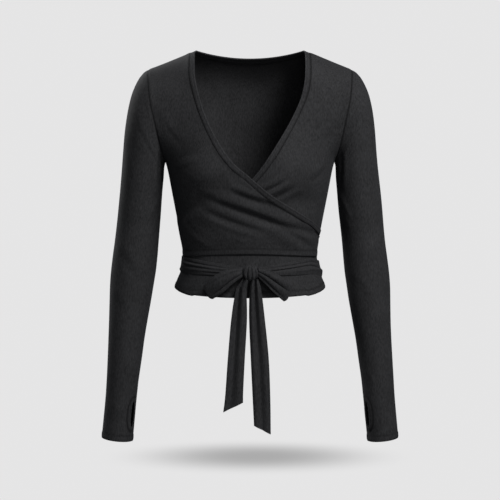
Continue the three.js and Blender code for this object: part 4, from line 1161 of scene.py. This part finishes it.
# %% Both sleeves
ARMHOLE_RINGS, SLEEVE_RINGS = 7, 168
SLEEVE_COLUMNS = 144
SLEEVE_FOLDS = {
    -1: [
        (124, -168, 137, -238, 3, 5, -2.2), (112, -172, 126, -250, 3, 7, 1.8),
        (150, -246, 104, -300, 5, 7, 1.8), (158, -262, 118, -322, 5, 6, 1.2),
        (40, -330, 110, -392, -6, 10, 1.5), (46, -352, 112, -414, -6, 8, -1.0),
        (120, -372, 66, -420, 5, 9, 1.2), (30, -410, 96, -452, -4, 9, 1.0),
        (20, -128, 60, -210, 6, 12, 0.9), (132, -560, 96, -590, 3, 7, 0.9),
        (60, -604, 100, -628, 3, 7, 0.8), (70, -480, 104, -560, 4, 10, 0.8),
    ],
    1: [
        (126, -166, 138, -234, 3, 5, -2.2), (113, -170, 125, -244, 3, 7, 1.8),
        (152, -240, 108, -296, 5, 7, 1.8), (156, -256, 112, -316, 5, 6, 1.2),
        (36, -322, 106, -384, -6, 10, 1.5), (44, -346, 108, -408, -6, 8, -1.0),
        (124, -380, 70, -430, 5, 9, 1.2), (26, -400, 92, -444, -4, 9, 1.0),
        (24, -120, 62, -204, 6, 12, 0.9), (128, -548, 92, -580, 3, 7, 0.9),
        (58, -598, 98, -620, 3, 7, 0.8), (66, -470, 100, -550, 4, 10, 0.8),
    ],
}
FOLD_RADIUS = 52.0
ROUND_WIDTH, ROUND_DEPTH, UNDERARM_RADIUS = 45, 25, 24
SLEEVE_FADE = 18
SLEEVE_SEED, SLEEVE_WAVE = 20, 130
BAND_HEIGHT, BAND_EDGE, BAND_RUN = 0.9, 0.9, 0.2
RING_WIDTH, RING_DEPTH = 0.11, 0.7


def sleeve(name, side):
    rows = np.concatenate([np.linspace(0, 1, ARMHOLE_RINGS)[:-1], np.linspace(1, 29, SLEEVE_RINGS)])
    step = 2 * np.pi / SLEEVE_COLUMNS
    off = (np.arange(SLEEVE_COLUMNS) + 0.5) * step
    off = np.where(off > np.pi, off - 2 * np.pi, off)
    row_grid = np.repeat(rows[:, None], SLEEVE_COLUMNS, 1)
    half = np.maximum(hole_half(row_grid), step / 2)
    size = np.abs(off)[None]
    moved = half + (size - step / 2) * (HOLE_REACH - half) / (HOLE_REACH - step / 2)
    angle = HOLE_ANGLE + np.sign(off)[None] * np.where(size < HOLE_REACH, moved, size)
    points = sleeve_surface(row_grid, angle)
    middle = points.mean(1, keepdims=True)
    normals = grid_normals(points, True, points - middle)
    turned = np.mod(angle, 2 * np.pi)
    from_seam = np.linalg.norm(points - points[:1], axis=2)
    hem = from_hem(points)
    field = smooth_step(from_seam / SLEEVE_FADE)
    rise = fold_field(turned * FOLD_RADIUS, points[..., 2], SLEEVE_FOLDS[side]) * field
    round_about = ROUND_WIDTH * np.cos(turned) + ROUND_DEPTH * np.sin(turned)
    rise += uneven(round_about, points[..., 2], SLEEVE_SEED + side, SLEEVE_WAVE, UNEVEN_HEIGHT) * field
    rise += seam_dip(from_seam)
    underarm = np.minimum(np.abs(turned - np.pi), 2) * UNDERARM_RADIUS
    rise += 0.4 * seam_dip(underarm)
    band = hole_band(row_grid, angle - HOLE_ANGLE)
    stitched = np.exp(-(((band - 1) / RING_WIDTH) ** 2))
    rise += BAND_HEIGHT * (1 - smooth_step((band - BAND_EDGE) / BAND_RUN)) - RING_DEPTH * stitched
    thickness = WALL + hem_profile(hem)
    points = points + normals * rise[..., None]
    if side > 0:
        points[..., 0] *= -1
        normals[..., 0] *= -1
    holes = np.zeros((len(rows) - 1, SLEEVE_COLUMNS), bool)
    between = (rows[:-1] + rows[1:]) / 2
    holes[:, -1] = (between > HOLE_FIRST) & (between < HOLE_LAST)
    # Painted shade along the armhole seam, the hem stitch line, the underarm seam and the stitched ring
    # round the thumb hole.
    painted_shade = painted_seam_shade(from_seam) + 0.5 * painted_seam_shade(hem - HEM_WIDTH) + 0.6 * painted_seam_shade(underarm)
    painted_shade = np.minimum(1, painted_shade + 0.9 * stitched)
    made = shell(name, points, normals, thickness, JERSEY, closed=True, holes=holes, painted_shade=painted_shade)
    return made, points, normals, thickness


sleeve_right, right_points, right_normals, right_thick = sleeve("sleeve_right_cloth", -1)
seated(sleeve_right, "sleeve_right")
sleeve_left, left_points, left_normals, left_thick = sleeve("sleeve_left_cloth", 1)
seated(sleeve_left, "sleeve_left")

# %% [markdown]
# ## Neck binding
# A folded strip runs along the whole neck edge. Its free edge is a soft roll, and its other
# edge dips into the seam beside the panel. A bevelled curve would give a round cord, so a
# flattened ring is swept along the edge, with one shallow groove where it is sewn. Painted
# shade darkens its seam edge and two sewn lines.

# %% Neck bindings
RING_STEPS = 20
BINDING_HEIGHT = 1.25


def binding_profile():
    turn = 2 * np.pi * np.arange(RING_STEPS) / RING_STEPS
    wide = np.sign(np.cos(turn)) * np.abs(np.cos(turn)) ** 0.75
    high = np.sign(np.sin(turn)) * np.abs(np.sin(turn)) ** 0.8
    distance = BINDING_WIDTH / 2 - (BINDING_WIDTH / 2 + 0.1) * wide
    height = 0.75 + BINDING_HEIGHT * high
    rolled = 0.5 * np.exp(-((distance / 1.9) ** 2)) - 0.3 * np.exp(-(((distance - 3.1) / 0.9) ** 2))
    return distance, height + rolled * np.sign(high)


# Painted shade: darker at the seam edge and along two sewn lines of the binding.
def painted_binding_shade():
    distance = binding_profile()[0]
    rows = 0.55 * painted_seam_shade((distance - 3.1) * 1.6) + 0.4 * painted_seam_shade((distance - 6.2) * 1.8)
    return 0.9 * painted_seam_shade(distance - BINDING_WIDTH) + rows


def binding_rings(places, face):
    distance, height = binding_profile()
    probe = np.linspace(-0.3, BINDING_WIDTH + 0.3, 9)
    sampled = np.stack([skin_by_drop(face, *places(d)) for d in probe], 1)
    normals = grid_normals(sampled, False, sideways(sampled))
    rows = len(sampled)
    rings = np.zeros((rows, RING_STEPS, 3))
    directions = np.zeros((rows, RING_STEPS, 3))
    for i in range(rows):
        for k in range(3):
            rings[i, :, k] = np.interp(distance, probe, sampled[i, :, k])
            directions[i, :, k] = np.interp(distance, probe, normals[i, :, k])
    return rings, unit(directions), height


print("the ring of the binding has", RING_STEPS, "points")

# %% [markdown]
# ## Binding of the fronts
# The right strip lies over the left one at the lap, and both sink in where they end. They
# could be laid on flat and pushed apart later. Here the formulas that lift one front and
# press in the other move them too, which keeps them close to the cloth beside them.

# %% Front bindings
BINDING_STEPS = 220
NECK_SPAN, LIFT_SPAN = 600, 400
BINDING_SEED, BINDING_WAVE, BINDING_UNEVEN = 31, 40, 0.12
SINK_START, SINK_RUN = 0.955, 0.045
SUNK_SHARE, SUNK_DEPTH = 0.35, 1.6
SHOULDER_FADE, SHOULDER_SHARE, SHOULDER_DEPTH = 16, 0.5, 2.4


def lower_at_shoulder(lift, distance):
    away = smooth_step(distance / SHOULDER_FADE)[:, None]
    return mix(SHOULDER_SHARE * lift - SHOULDER_DEPTH, lift, away)


def front_binding(name, neck_end, side):
    edge = OUTER_EDGE if side > 0 else INNER_EDGE
    share = even_on_neck(edge, neck_end, np.linspace(0, 1, BINDING_STEPS))

    def places(distance):
        angle, drop = beside_neck(edge, share, distance)
        return angle, np.maximum(0, drop)

    rings, directions, height = binding_rings(places, "front")
    waves = uneven(share * NECK_SPAN, share * 0, BINDING_SEED, BINDING_WAVE, BINDING_UNEVEN)
    lift = height[None] + waves[:, None]
    angle, drop = places(BINDING_WIDTH / 2)
    middle = skin_by_drop("front", angle, drop)
    if side > 0:
        lift = lift + overlap_lift(middle, angle)[:, None]
    else:
        lift = lift - pressed_in(middle, angle, height.max() - WALL)[:, None]
    sinking = smooth_step((np.linspace(0, 1, BINDING_STEPS) - SINK_START) / SINK_RUN)[:, None]
    lift = mix(lift, SUNK_SHARE * height[None] - SUNK_DEPTH, sinking)
    lift = lower_at_shoulder(lift, np.arange(BINDING_STEPS) / (BINDING_STEPS - 1) * LIFT_SPAN)
    rings = rings + directions * lift[..., None]
    rings[0, :, 1] = -SEAM_GAP / 2
    if side < 0:
        rings[..., 0] *= -1
        directions[..., 0] *= -1
    return tube(name, rings, BINDING, painted_binding_shade()[None]), rings, directions


binding_right, right_rings, right_out = front_binding("neck_binding_right_cloth", 1.0, 1)
seated(binding_right, "neck_binding_right")
binding_left, left_rings, left_out = front_binding("neck_binding_left_cloth", INNER_NECK_END, -1)
seated(binding_left, "neck_binding_left")

# %% [markdown]
# ## Binding of the back neck
# The back neck has a short strip of its own. One ring could run all round, but three parts
# follow the solids and keep the shoulder seams.

# %% Back binding
BACK_STEPS = 110
BACK_SPAN = 250
back_turn = np.linspace(0, np.pi, BACK_STEPS)


def back_binding_places(distance):
    return back_neck_place(back_turn, distance)


back_rings, back_out, back_height = binding_rings(back_binding_places, "back")
back_count = np.arange(BACK_STEPS)
from_ends = np.minimum(back_count, BACK_STEPS - 1 - back_count) / (BACK_STEPS - 1) * BACK_SPAN
back_lift = lower_at_shoulder(back_height[None] + 0 * back_turn[:, None], from_ends)
back_rings = back_rings + back_out * back_lift[..., None]
back_rings[[0, -1], :, 1] = SEAM_GAP / 2
binding_back = tube("neck_binding_back_cloth", back_rings, BINDING, painted_binding_shade()[None])
seated(binding_back, "neck_binding_back")

# %% [markdown]
# ## Waist ties
# Each tie runs from the knot round its own side and across the back. Pulling it tight
# leaves long folds along it, which draw together at the knot. It could be draped as a
# strip, but it has to follow the body closely, so it is lifted from the same surface.

# %% Tie bands
TIE_TURN = [0.06, 0.5, 1, 1.57, 2.1, 3.2, 4.1, 4.6]
TIE_Z = [-377.5, -373.8, -371.0, -370.8, -370, -366, -360, -352]
TIE_HALF = [7.0, 11.2, 13.8, 14.2, 13, 14, 14, 13]
TIE_CROWD = [0, 0, 0, 1, 1, 1, 1, 1]
TIE_INNER, TIE_OUTER = 2.5, 3.9
TIE_WALL, LOOP_WALL = 1.2, 1.3
TIE_END_TURN, TIE_END_RUN, TIE_SUNK = 4.2, 0.34, -1.2
BACK_TIE_STEP = 9.0
TIE_FOLDS = {
    -1: [
        (14, 9, 152, 4, -0.8, 1.5, -1.2), (10, 12, 150, 9, -0.6, 3.4, 1.2),
        (52, 15, 150, 13, 0.7, 1.5, -0.9), (20, 20, 158, 19, 0.5, 3.2, 0.9),
        (104, 24, 190, 24, 0, 2.8, 1.8), (14, 24, 70, 22, 0, 1.5, -0.8),
    ],
    1: [
        (12, 8, 150, 5, -0.7, 1.5, -1.1), (8, 12, 146, 10, -0.6, 3.6, 1.2),
        (20, 17, 104, 12, 0.8, 1.4, -1.2), (40, 21, 150, 20, 0.5, 3.4, 0.9),
        (112, 19, 190, 19, 0, 3.0, 1.3), (70, 13, 150, 17, 0.9, 1.4, -0.8),
    ],
}


def tie_band(name, side, outer):
    turn = np.linspace(TIE_TURN[0], TIE_TURN[-1], 260)
    crowd = np.clip(smooth_curve(TIE_TURN, TIE_CROWD, turn), 0, 1)
    z = smooth_curve(TIE_TURN, TIE_Z, turn) - (BACK_TIE_STEP * crowd if outer else 0)
    half = smooth_curve(TIE_TURN, TIE_HALF, turn)
    share = np.linspace(0, 1, 34)
    height = z[:, None] + half[:, None] * (1 - 2 * share[None])
    turned = np.abs(np.pi / 2 - turn)[:, None] + 0 * height
    ahead = skin("front", turned, height)
    behind = skin("back", turned, height)
    points = np.where((turn <= np.pi / 2)[:, None, None], ahead, behind)
    normals = grid_normals(points, False, sideways(points))
    lift = mix(TIE_INNER, TIE_OUTER, crowd) if outer else TIE_INNER + 0 * crowd
    lift = mix(lift, TIE_SUNK, smooth_step((turn - TIE_END_TURN) / TIE_END_RUN))
    in_front = 1 - smooth_step((turn - 1.2) / 0.9)
    rise = lift[:, None] + 0 * share[None]
    along = np.repeat(turn[:, None] * 100, len(share), 1)
    strength = mix(0.35 if outer else 0.1, 1.0, in_front)[:, None]
    rise = rise + 1.5 * fold_field(along, share[None] * 28 + 0 * along, TIE_FOLDS[side]) * strength
    rise = rise + 1.2 * np.sin(np.pi * share)[None] * in_front[:, None]
    rise = rise - 1.3 * np.maximum(0, 2 * share - 1)[None] ** 6
    at_side = np.exp(-(((turn - 1.5) / 0.4) ** 2))[:, None]
    rise = rise - (2.6 if outer else 1.6) * at_side * smooth_step((share - 0.72) / 0.28)[None]
    points = points + normals * rise[..., None]
    if side > 0:
        points[..., 0] *= -1
        normals[..., 0] *= -1
    return shell(name, points, normals, TIE_WALL, TIE)


band_right = seated(tie_band("tie_band_right_cloth", -1, False), "tie_band_right")
band_left = seated(tie_band("tie_band_left_cloth", 1, True), "tie_band_left")

# %% [markdown]
# ## Knot
# The knot is a short strip wound over the middle of the bow. Tying a strip in simulation is
# slow and rarely comes out the same, so a rounded form is creased along the turns instead.

# %% Knot
KNOT_X, KNOT_Y, KNOT_Z = 1.2, -103.8, -378.2
KNOT_HALF_X, KNOT_HALF_Y, KNOT_HALF_Z = 14.8, 11.0, 12.8
KNOT_POWER = 4
KNOT_TURNS, KNOT_COLUMNS = 80, 65
LEAST_GIRTH = 1e-6


def knot_width_at(y, z):
    up = np.clip(1 - np.abs((z - KNOT_Z) / KNOT_HALF_Z) ** KNOT_POWER, 0, 1)
    girth = np.maximum(up, LEAST_GIRTH) ** (1 / KNOT_POWER)
    across = np.clip(1 - np.abs((y - KNOT_Y) / (KNOT_HALF_Y * girth)) ** KNOT_POWER, 0, 1)
    return KNOT_HALF_X * girth * across ** (1 / KNOT_POWER)


KNOT_CREASES = (
    (-0.70, 0.16, 1.6, 0.10, 0.16), (-0.40, 0.07, -1.3, 0.16, 0.06),
    (-0.14, 0.16, 2.2, 0.05, -0.10), (0.12, 0.06, -1.5, -0.06, -0.02),
    (0.34, 0.14, 1.5, -0.02, 0.05), (0.58, 0.06, -1.1, -0.16, -0.04),
    (0.78, 0.14, 1.3, -0.14, -0.12),
)


def knot():
    turn = 2 * np.pi * np.arange(KNOT_TURNS) / KNOT_TURNS
    across = np.linspace(-1, 1, KNOT_COLUMNS)
    side_fade = np.maximum((1 - np.abs(across) ** 2.2) ** (1 / 2.2), 0.05)
    girth = mix(side_fade, 1, 0.25)[:, None]
    high = np.sign(np.sin(turn)) * np.abs(np.sin(turn)) ** 0.8
    deep = np.sign(np.cos(turn)) * np.abs(np.cos(turn)) ** 0.8
    below = np.maximum(0, -high)[None]
    narrow = 1 - 0.06 * deep[None] ** 2 - 0.30 * below ** 1.5 - 0.12 * np.maximum(0, high)[None] ** 2
    x = KNOT_X + KNOT_HALF_X * across[:, None] * narrow
    wrinkle = np.zeros((KNOT_COLUMNS, KNOT_TURNS))
    for place, width, rise, lean, bend in KNOT_CREASES:
        line = place + lean * high[None] + bend * high[None] ** 2
        wrinkle += 1.15 * rise * np.exp(-(((across[:, None] - line) / width) ** 2))
    y = KNOT_Y - (KNOT_HALF_Y * girth - 2.8 + wrinkle) * deep[None]
    z = KNOT_Z + (KNOT_HALF_Z * girth - 1.0 + 0.5 * wrinkle) * high[None]
    points = np.stack([x, y, z], -1)
    centre = np.stack([x, 0 * x + KNOT_Y, 0 * x + KNOT_Z], -1)
    normals = grid_normals(points, True, points - centre)
    return shell("tie_knot_cloth", points, normals, TIE_WALL, TIE, closed=True)


knot_cloth = seated(knot(), "tie_knot")

# %% [markdown]
# ## Bow loops
# Each loop runs out from the knot, turns, and comes back behind itself. It droops, and its
# far end rests back on the belly. A bent flat strip would look like card, so the loop is
# pinched at the knot and opens with soft ridges along it.

# %% Loops
LOOPS = {
    -1: {
        "upper_x": [13.5, 36, 60, 80.5], "upper_z": [-368.5, -371.5, -383, -397.5],
        "lower_x": [13, 30, 48.5, 66.5], "lower_z": [-383.5, -396.5, -413, -425.5],
    },
    1: {
        "upper_x": [13.5, 33, 54, 72], "upper_z": [-368, -374, -385.5, -396.5],
        "lower_x": [13, 26, 42, 60.5], "lower_z": [-383.5, -396, -413, -429.5],
    },
}
LOOP_MIDDLE_Y, LOOP_PINCHED, LOOP_PUFFED = -105.2, 3.4, 3.6
LOOP_RIDGES = {
    -1: ((0.10, 0.08, 1.0), (0.48, 0.26, 2.6), (0.82, 0.06, -1.6), (0.95, 0.07, 0.8)),
    1: ((0.20, 0.17, 2.6), (0.43, 0.045, -2.2), (0.66, 0.17, 2.4), (0.88, 0.06, -1.2)),
}
LOOP_CORNER = 5.5
LOOP_SWEEP = 7.0


def bow_loop(name, side):
    shape = LOOPS[side]
    turn = np.linspace(0, np.pi, 110)
    out = np.sin(turn)
    share = np.linspace(0, 1, 40)
    places = np.linspace(0, 1, 4)

    def read(key):
        return smooth_curve(places, shape[key], out)[:, None]

    x = mix(read("upper_x"), read("lower_x"), share[None])
    z = mix(read("upper_z"), read("lower_z"), share[None])
    corner = LOOP_CORNER * np.abs(2 * share - 1)[None] ** 3.4 * smooth_step((out - 0.6) / 0.4)[:, None]
    x = x - 0.75 * corner
    z = z + corner * np.sign(share - 0.5)[None] * mix(0.2, 0.75, share)[None]
    half = LOOP_PINCHED + LOOP_PUFFED * np.sin(np.pi * out)
    middle_y = LOOP_MIDDLE_Y + LOOP_SWEEP * out[:, None] ** 2
    y = middle_y - half[:, None] * np.cos(turn)[:, None] + 0 * share[None]
    near_knot = (1 - out)[:, None]
    for place, width, rise in LOOP_RIDGES[side]:
        line = mix(place, mix(0.5, place, 0.7), near_knot)
        ridge = rise * np.exp(-(((share[None] - line) / width) ** 2))
        fade = np.sin(np.pi * np.clip(out * 0.85 + 0.12, 0, 1))[:, None]
        y = y - 1.5 * ridge * fade * np.sign(np.cos(turn))[:, None] * np.abs(np.cos(turn))[:, None] ** 0.4
    clear = knot_width_at(y, z) - 1.5 + KNOT_X * side
    points = np.stack([side * np.maximum(x, clear), y, z], -1)
    away = np.stack([0 * x, y - middle_y, 0 * z], -1)
    normals = grid_normals(points, False, away)
    return shell(name, points, normals, LOOP_WALL, TIE)


loop_right = seated(bow_loop("bow_loop_right_cloth", -1), "bow_loop_right")
loop_left = seated(bow_loop("bow_loop_left_cloth", 1), "bow_loop_left")

# %% [markdown]
# ## Tails
# Each tail is a doubled strip, pinched under the knot and open below, with a slanted end.
# A hanging strip could be simulated. It is swept as a flattened ring instead, so that its
# long folds fade downwards just where they should.

# %% Tails
TAIL_ROWS, TAIL_COLUMNS = 150, 48
TAIL_SEED, TAIL_WAVE, TAIL_UNEVEN = 41, 150, 0.7
TAIL_HALF_WALL = 1.1
TAILS = {
    -1: {
        "left_x": [-13, -19.5, -24.5, -31.7, -37.5, -41.9, -45.3],
        "left_z": [-388.6, -398, -409, -456, -523, -585, -613.7],
        "right_x": [-1.4, -4.4, -5.6, -5, -8.7, -11.4, -11.7],
        "right_z": [-388.8, -398, -409, -456, -523, -578, -597],
        "y": [-105, -105.5, -105.5, -105, -106, -108, -109],
    },
    1: {
        "left_x": [2.6, 0.4, -1, -1.6, 1.2, 4.4, 6.7],
        "left_z": [-388.8, -398, -409, -456, -523, -590, -637],
        "right_x": [14.6, 17, 19.4, 25.1, 31.7, 34.4, 35.2],
        "right_z": [-388.6, -398, -409, -456, -523, -590, -652],
        "y": [-105, -105.5, -105.5, -104.5, -104, -105, -106],
    },
}
TAIL_RIDGES = {
    -1: ((0.32, 0.13, -2.8, -0.05), (0.70, 0.21, 3.8, 0.03), (0.06, 0.1, 1.2, 0)),
    1: ((0.19, 0.15, 3.4, 0.02), (0.47, 0.09, -3.2, 0.04), (0.75, 0.16, 2.8, 0.03)),
}


def tie_tail(name, side):
    shape = TAILS[side]
    down = np.linspace(0, 1, TAIL_ROWS) ** 1.15
    places = np.linspace(0, 1, 7)
    turn = 2 * np.pi * np.arange(TAIL_COLUMNS) / TAIL_COLUMNS
    wide = np.sign(np.cos(turn)) * np.abs(np.cos(turn)) ** 0.8
    share = (1 - wide) / 2

    def read(key):
        return smooth_curve(places, shape[key], down)[:, None]

    x = mix(read("left_x"), read("right_x"), share[None])
    z = mix(read("left_z"), read("right_z"), share[None])
    fold = np.zeros_like(x)
    for place, width, rise, sway in TAIL_RIDGES[side]:
        line = place + sway * np.sin(5 * down + place * 4)[:, None]
        fold += rise * np.exp(-(((share[None] - line) / width) ** 2))
    fold *= mix(1.5, 0.5, down ** 2)[:, None]
    slow = uneven(z, x * 0.3, TAIL_SEED + side, TAIL_WAVE, TAIL_UNEVEN)
    layer = TAIL_HALF_WALL * np.sign(np.sin(turn)) * np.abs(np.sin(turn)) ** 0.6
    y = read("y") - 1.5 - fold - slow - layer[None]
    rings = np.stack([x, y, z], -1)
    return tube(name, rings, TIE)


tail_right = seated(tie_tail("tie_tail_right_cloth", -1), "tie_tail_right")
tail_left = seated(tie_tail("tie_tail_left_cloth", 1), "tie_tail_left")

# %% [markdown]
# ## Stitches
# Hems have two rows of stitches 10 mm from the edge, as a twin needle leaves them. The
# binding is held by one row. The rows are read from the finished cloth, so they sit on it.

# %% Stitch rows
ROW_HALF_GAP = 1.1
HEM_STITCH_LIFT, BINDING_STITCH_LIFT = 0.1, 0.15
ROW_INSET = 3


def hem_stitches(name, points, normals, thickness):
    outer = points + normals * np.broadcast_to(thickness, points.shape[:2])[..., None]
    rows = []
    for distance in (HEM_WIDTH - ROW_HALF_GAP, HEM_WIDTH + ROW_HALF_GAP):
        line = line_from_edge(outer[::-1], distance)
        outward = line_from_edge(normals[::-1], 0)
        rows.append((line + outward * HEM_STITCH_LIFT, outward))
    return stitches(name, rows)


wrap_hem = hem_stitches("wrap_hem_stitches", wrap_points, wrap_normals, wrap_thick)
under_hem = hem_stitches("under_hem_stitches", under_points, under_normals, under_thick)
back_hem = hem_stitches("back_hem_stitches", back_points, back_normals, back_thick)
right_cuff = hem_stitches("cuff_right_stitches", right_points, right_normals, right_thick)
left_cuff = hem_stitches("cuff_left_stitches", left_points, left_normals, left_thick)


def binding_stitches(name, rings, outward, inset):
    wanted = RING_STEPS // 4 + inset
    line = rings[:, wanted] + outward[:, wanted] * BINDING_STITCH_LIFT
    return stitches(name, [(line, outward[:, wanted])], pitch=2.6, length=2.0, thick=0.45)


right_edge = binding_stitches("binding_right_stitches", right_rings, right_out, ROW_INSET)
left_edge = binding_stitches("binding_left_stitches", left_rings, left_out, ROW_INSET)
back_edge = binding_stitches("binding_back_stitches", back_rings, back_out, ROW_INSET)

# %% [markdown]
# ## Sizes of the cut pieces
# Each sheet states the cut of the cloth that shows: width, length and area. They are
# estimates from the worn size, and the printed ratio shows how well mesh and cut agree.

# %% Sheets
CUTS = [
    (front_right, (0.34, 0.36), 0.062, "hung", [wrap_hem]),
    (front_left, (0.36, 0.43), 0.08, "hung", [under_hem]),
    (back, (0.42, 0.45), 0.145, "hung", [back_hem]),
    (sleeve_right, (0.34, 0.64), 0.14, "hung", [right_cuff]),
    (sleeve_left, (0.34, 0.64), 0.14, "hung", [left_cuff]),
    (binding_right, (0.0115, 0.44), None, "stretched", [right_edge]),
    (binding_left, (0.0113, 0.42), None, "stretched", [left_edge]),
    (binding_back, (0.014, 0.255), None, "stretched", [back_edge]),
    (band_right, (0.029, 0.455), None, "gathered", []),
    (band_left, (0.029, 0.46), None, "gathered", []),
    (knot_cloth, (0.034, 0.078), None, "folded", []),
    (loop_right, (0.026, 0.16), None, "folded", []),
    (loop_left, (0.026, 0.15), None, "folded", []),
    (tail_right, (0.031, 0.225), None, "hung", []),
    (tail_left, (0.033, 0.262), None, "hung", []),
]
for made, flat, area, held, with_pieces in CUTS:
    measured = wall_area(made)
    cut = area if area else flat[0] * flat[1]
    print(made.name, "measured", round(measured, 4), "cut", round(cut, 4), "ratio", round(measured / cut, 2))

# %% [markdown]
# ## Stage
# A pale flat floor lies under the top, and the world behind it has the same tone, so no
# horizon shows from any side. Real light would leave the floor uneven. Its own glow keeps
# it even, and a painted shadow, a soft darker oval in that glow, lies on it under the top.

# %% Floor and backdrop
FLOOR_Z = -0.712
FLOOR_HALF = 3.0
PALE = (0.787, 0.785, 0.788, 1)
# Centre, reach, strength and tone of the painted shadow under the top.
PAINTED_SHADOW_CENTRE = (0.012, 0.0)
PAINTED_SHADOW_REACH = (0.30, 0.17)
PAINTED_SHADOW_STRENGTH = 0.49
PAINTED_SHADOW_TONE = (0.02, 0.02, 0.02, 1)


def floor_sheet():
    corners = [(-1, -1), (1, -1), (1, 1), (-1, 1)]
    vertices = [(x * FLOOR_HALF, y * FLOOR_HALF, FLOOR_Z) for x, y in corners]
    mesh = bpy.data.meshes.new("floor")
    mesh.from_pydata(vertices, [], [(0, 1, 2, 3)])
    made = bpy.data.objects.new("floor", mesh)
    bpy.context.scene.collection.objects.link(made)
    return made


def floor_material():
    """Pale and even, with a painted shadow: a soft darker oval in its glow under the top."""
    material = bpy.data.materials.new("floor")
    material.use_nodes = True
    tree = material.node_tree
    link = tree.links.new
    shader = tree.nodes["Principled BSDF"]
    shader.inputs["Base Color"].default_value = (0, 0, 0, 1)
    shader.inputs["Roughness"].default_value = 1.0
    shader.inputs["Specular IOR Level"].default_value = 0.0
    shader.inputs["Emission Strength"].default_value = 1.0
    place = node(tree, "ShaderNodeTexCoord")
    moved = node(tree, "ShaderNodeMapping", vector_type="TEXTURE")
    moved.inputs["Location"].default_value = (*PAINTED_SHADOW_CENTRE, FLOOR_Z)
    moved.inputs["Scale"].default_value = (*PAINTED_SHADOW_REACH, 0.05)
    link(place.outputs["Object"], moved.inputs["Vector"])
    away = node(tree, "ShaderNodeVectorMath", operation="LENGTH")
    link(moved.outputs["Vector"], away.inputs[0])
    # Painted shadow: the glow darkens towards the middle of a soft oval under the top, in place of a cast
    # shadow.
    painted_shadow_fade = node(tree, "ShaderNodeMapRange", interpolation_type="SMOOTHERSTEP")
    painted_shadow_fade.inputs["From Min"].default_value = 0.0
    painted_shadow_fade.inputs["From Max"].default_value = 1.0
    painted_shadow_fade.inputs["To Min"].default_value = PAINTED_SHADOW_STRENGTH
    painted_shadow_fade.inputs["To Max"].default_value = 0.0
    link(away.outputs["Value"], painted_shadow_fade.inputs["Value"])
    painted_shadow_mix = node(tree, "ShaderNodeMix", data_type="RGBA")
    link(painted_shadow_fade.outputs["Result"], painted_shadow_mix.inputs[0])
    painted_shadow_mix.inputs[6].default_value = PALE
    painted_shadow_mix.inputs[7].default_value = PAINTED_SHADOW_TONE
    link(painted_shadow_mix.outputs[2], shader.inputs["Emission Color"])
    return material


floor = floor_sheet()
floor.data.materials.append(floor_material())
floor.visible_diffuse = False
floor.visible_glossy = False
floor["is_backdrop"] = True
print("floor", 2 * FLOOR_HALF, "m wide at", FLOOR_Z, "m")

# %% [markdown]
# ## Lights
# Black jersey shows its form only by soft changes of tone. A large key from the upper
# right draws the folds, a weak fill opens the shadows and a light behind gives the far
# shoulder an edge. One lamp would be simpler, but it would leave the folds black.

# %% Lights
LIT_POINT = (0, 0, -0.3)
ROOM_TONE, ROOM_STRENGTH = (0.92, 0.95, 1.0, 1), 0.14


def area_light(name, place, target, size, watts, colour=(1, 1, 1)):
    data = bpy.data.lights.new(name, "AREA")
    data.shape = "RECTANGLE"
    data.size, data.size_y = size
    data.energy = watts
    data.color = colour
    made = bpy.data.objects.new(name, data)
    bpy.context.scene.collection.objects.link(made)
    made.location = place
    made.rotation_mode = "QUATERNION"
    made.rotation_quaternion = (Vector(target) - Vector(place)).to_track_quat("-Z", "Y")
    return made


area_light("key", (1.05, -1.5, 1.35), LIT_POINT, (0.8, 0.8), 66)
area_light("back", (-1.5, 1.3, 0.9), LIT_POINT, (0.9, 0.9), 50)
area_light("fill", (0.5, -2.5, 0.0), LIT_POINT, (1.2, 1.4), 10)


def studio_world():
    """Pale where the camera sees it, and a weaker even light for the cloth."""
    world = bpy.data.worlds.new("studio")
    world.use_nodes = True
    tree = world.node_tree
    seen = tree.nodes["Background"]
    seen.inputs["Color"].default_value = PALE
    lit = node(tree, "ShaderNodeBackground")
    lit.inputs["Color"].default_value = ROOM_TONE
    lit.inputs["Strength"].default_value = ROOM_STRENGTH
    path = node(tree, "ShaderNodeLightPath")
    chosen = node(tree, "ShaderNodeMixShader")
    tree.links.new(path.outputs["Is Camera Ray"], chosen.inputs[0])
    tree.links.new(lit.outputs[0], chosen.inputs[1])
    tree.links.new(seen.outputs[0], chosen.inputs[2])
    tree.links.new(chosen.outputs[0], tree.nodes["World Output"].inputs["Surface"])
    return world


bpy.context.scene.world = studio_world()
bpy.context.scene.view_settings.view_transform = "Standard"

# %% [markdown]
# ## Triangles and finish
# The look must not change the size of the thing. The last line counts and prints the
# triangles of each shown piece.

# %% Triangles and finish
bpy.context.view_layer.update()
triangles = {o.name: sum(len(f.vertices) - 2 for f in o.data.polygons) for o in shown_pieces()}
print("triangles", sum(triangles.values()), triangles)
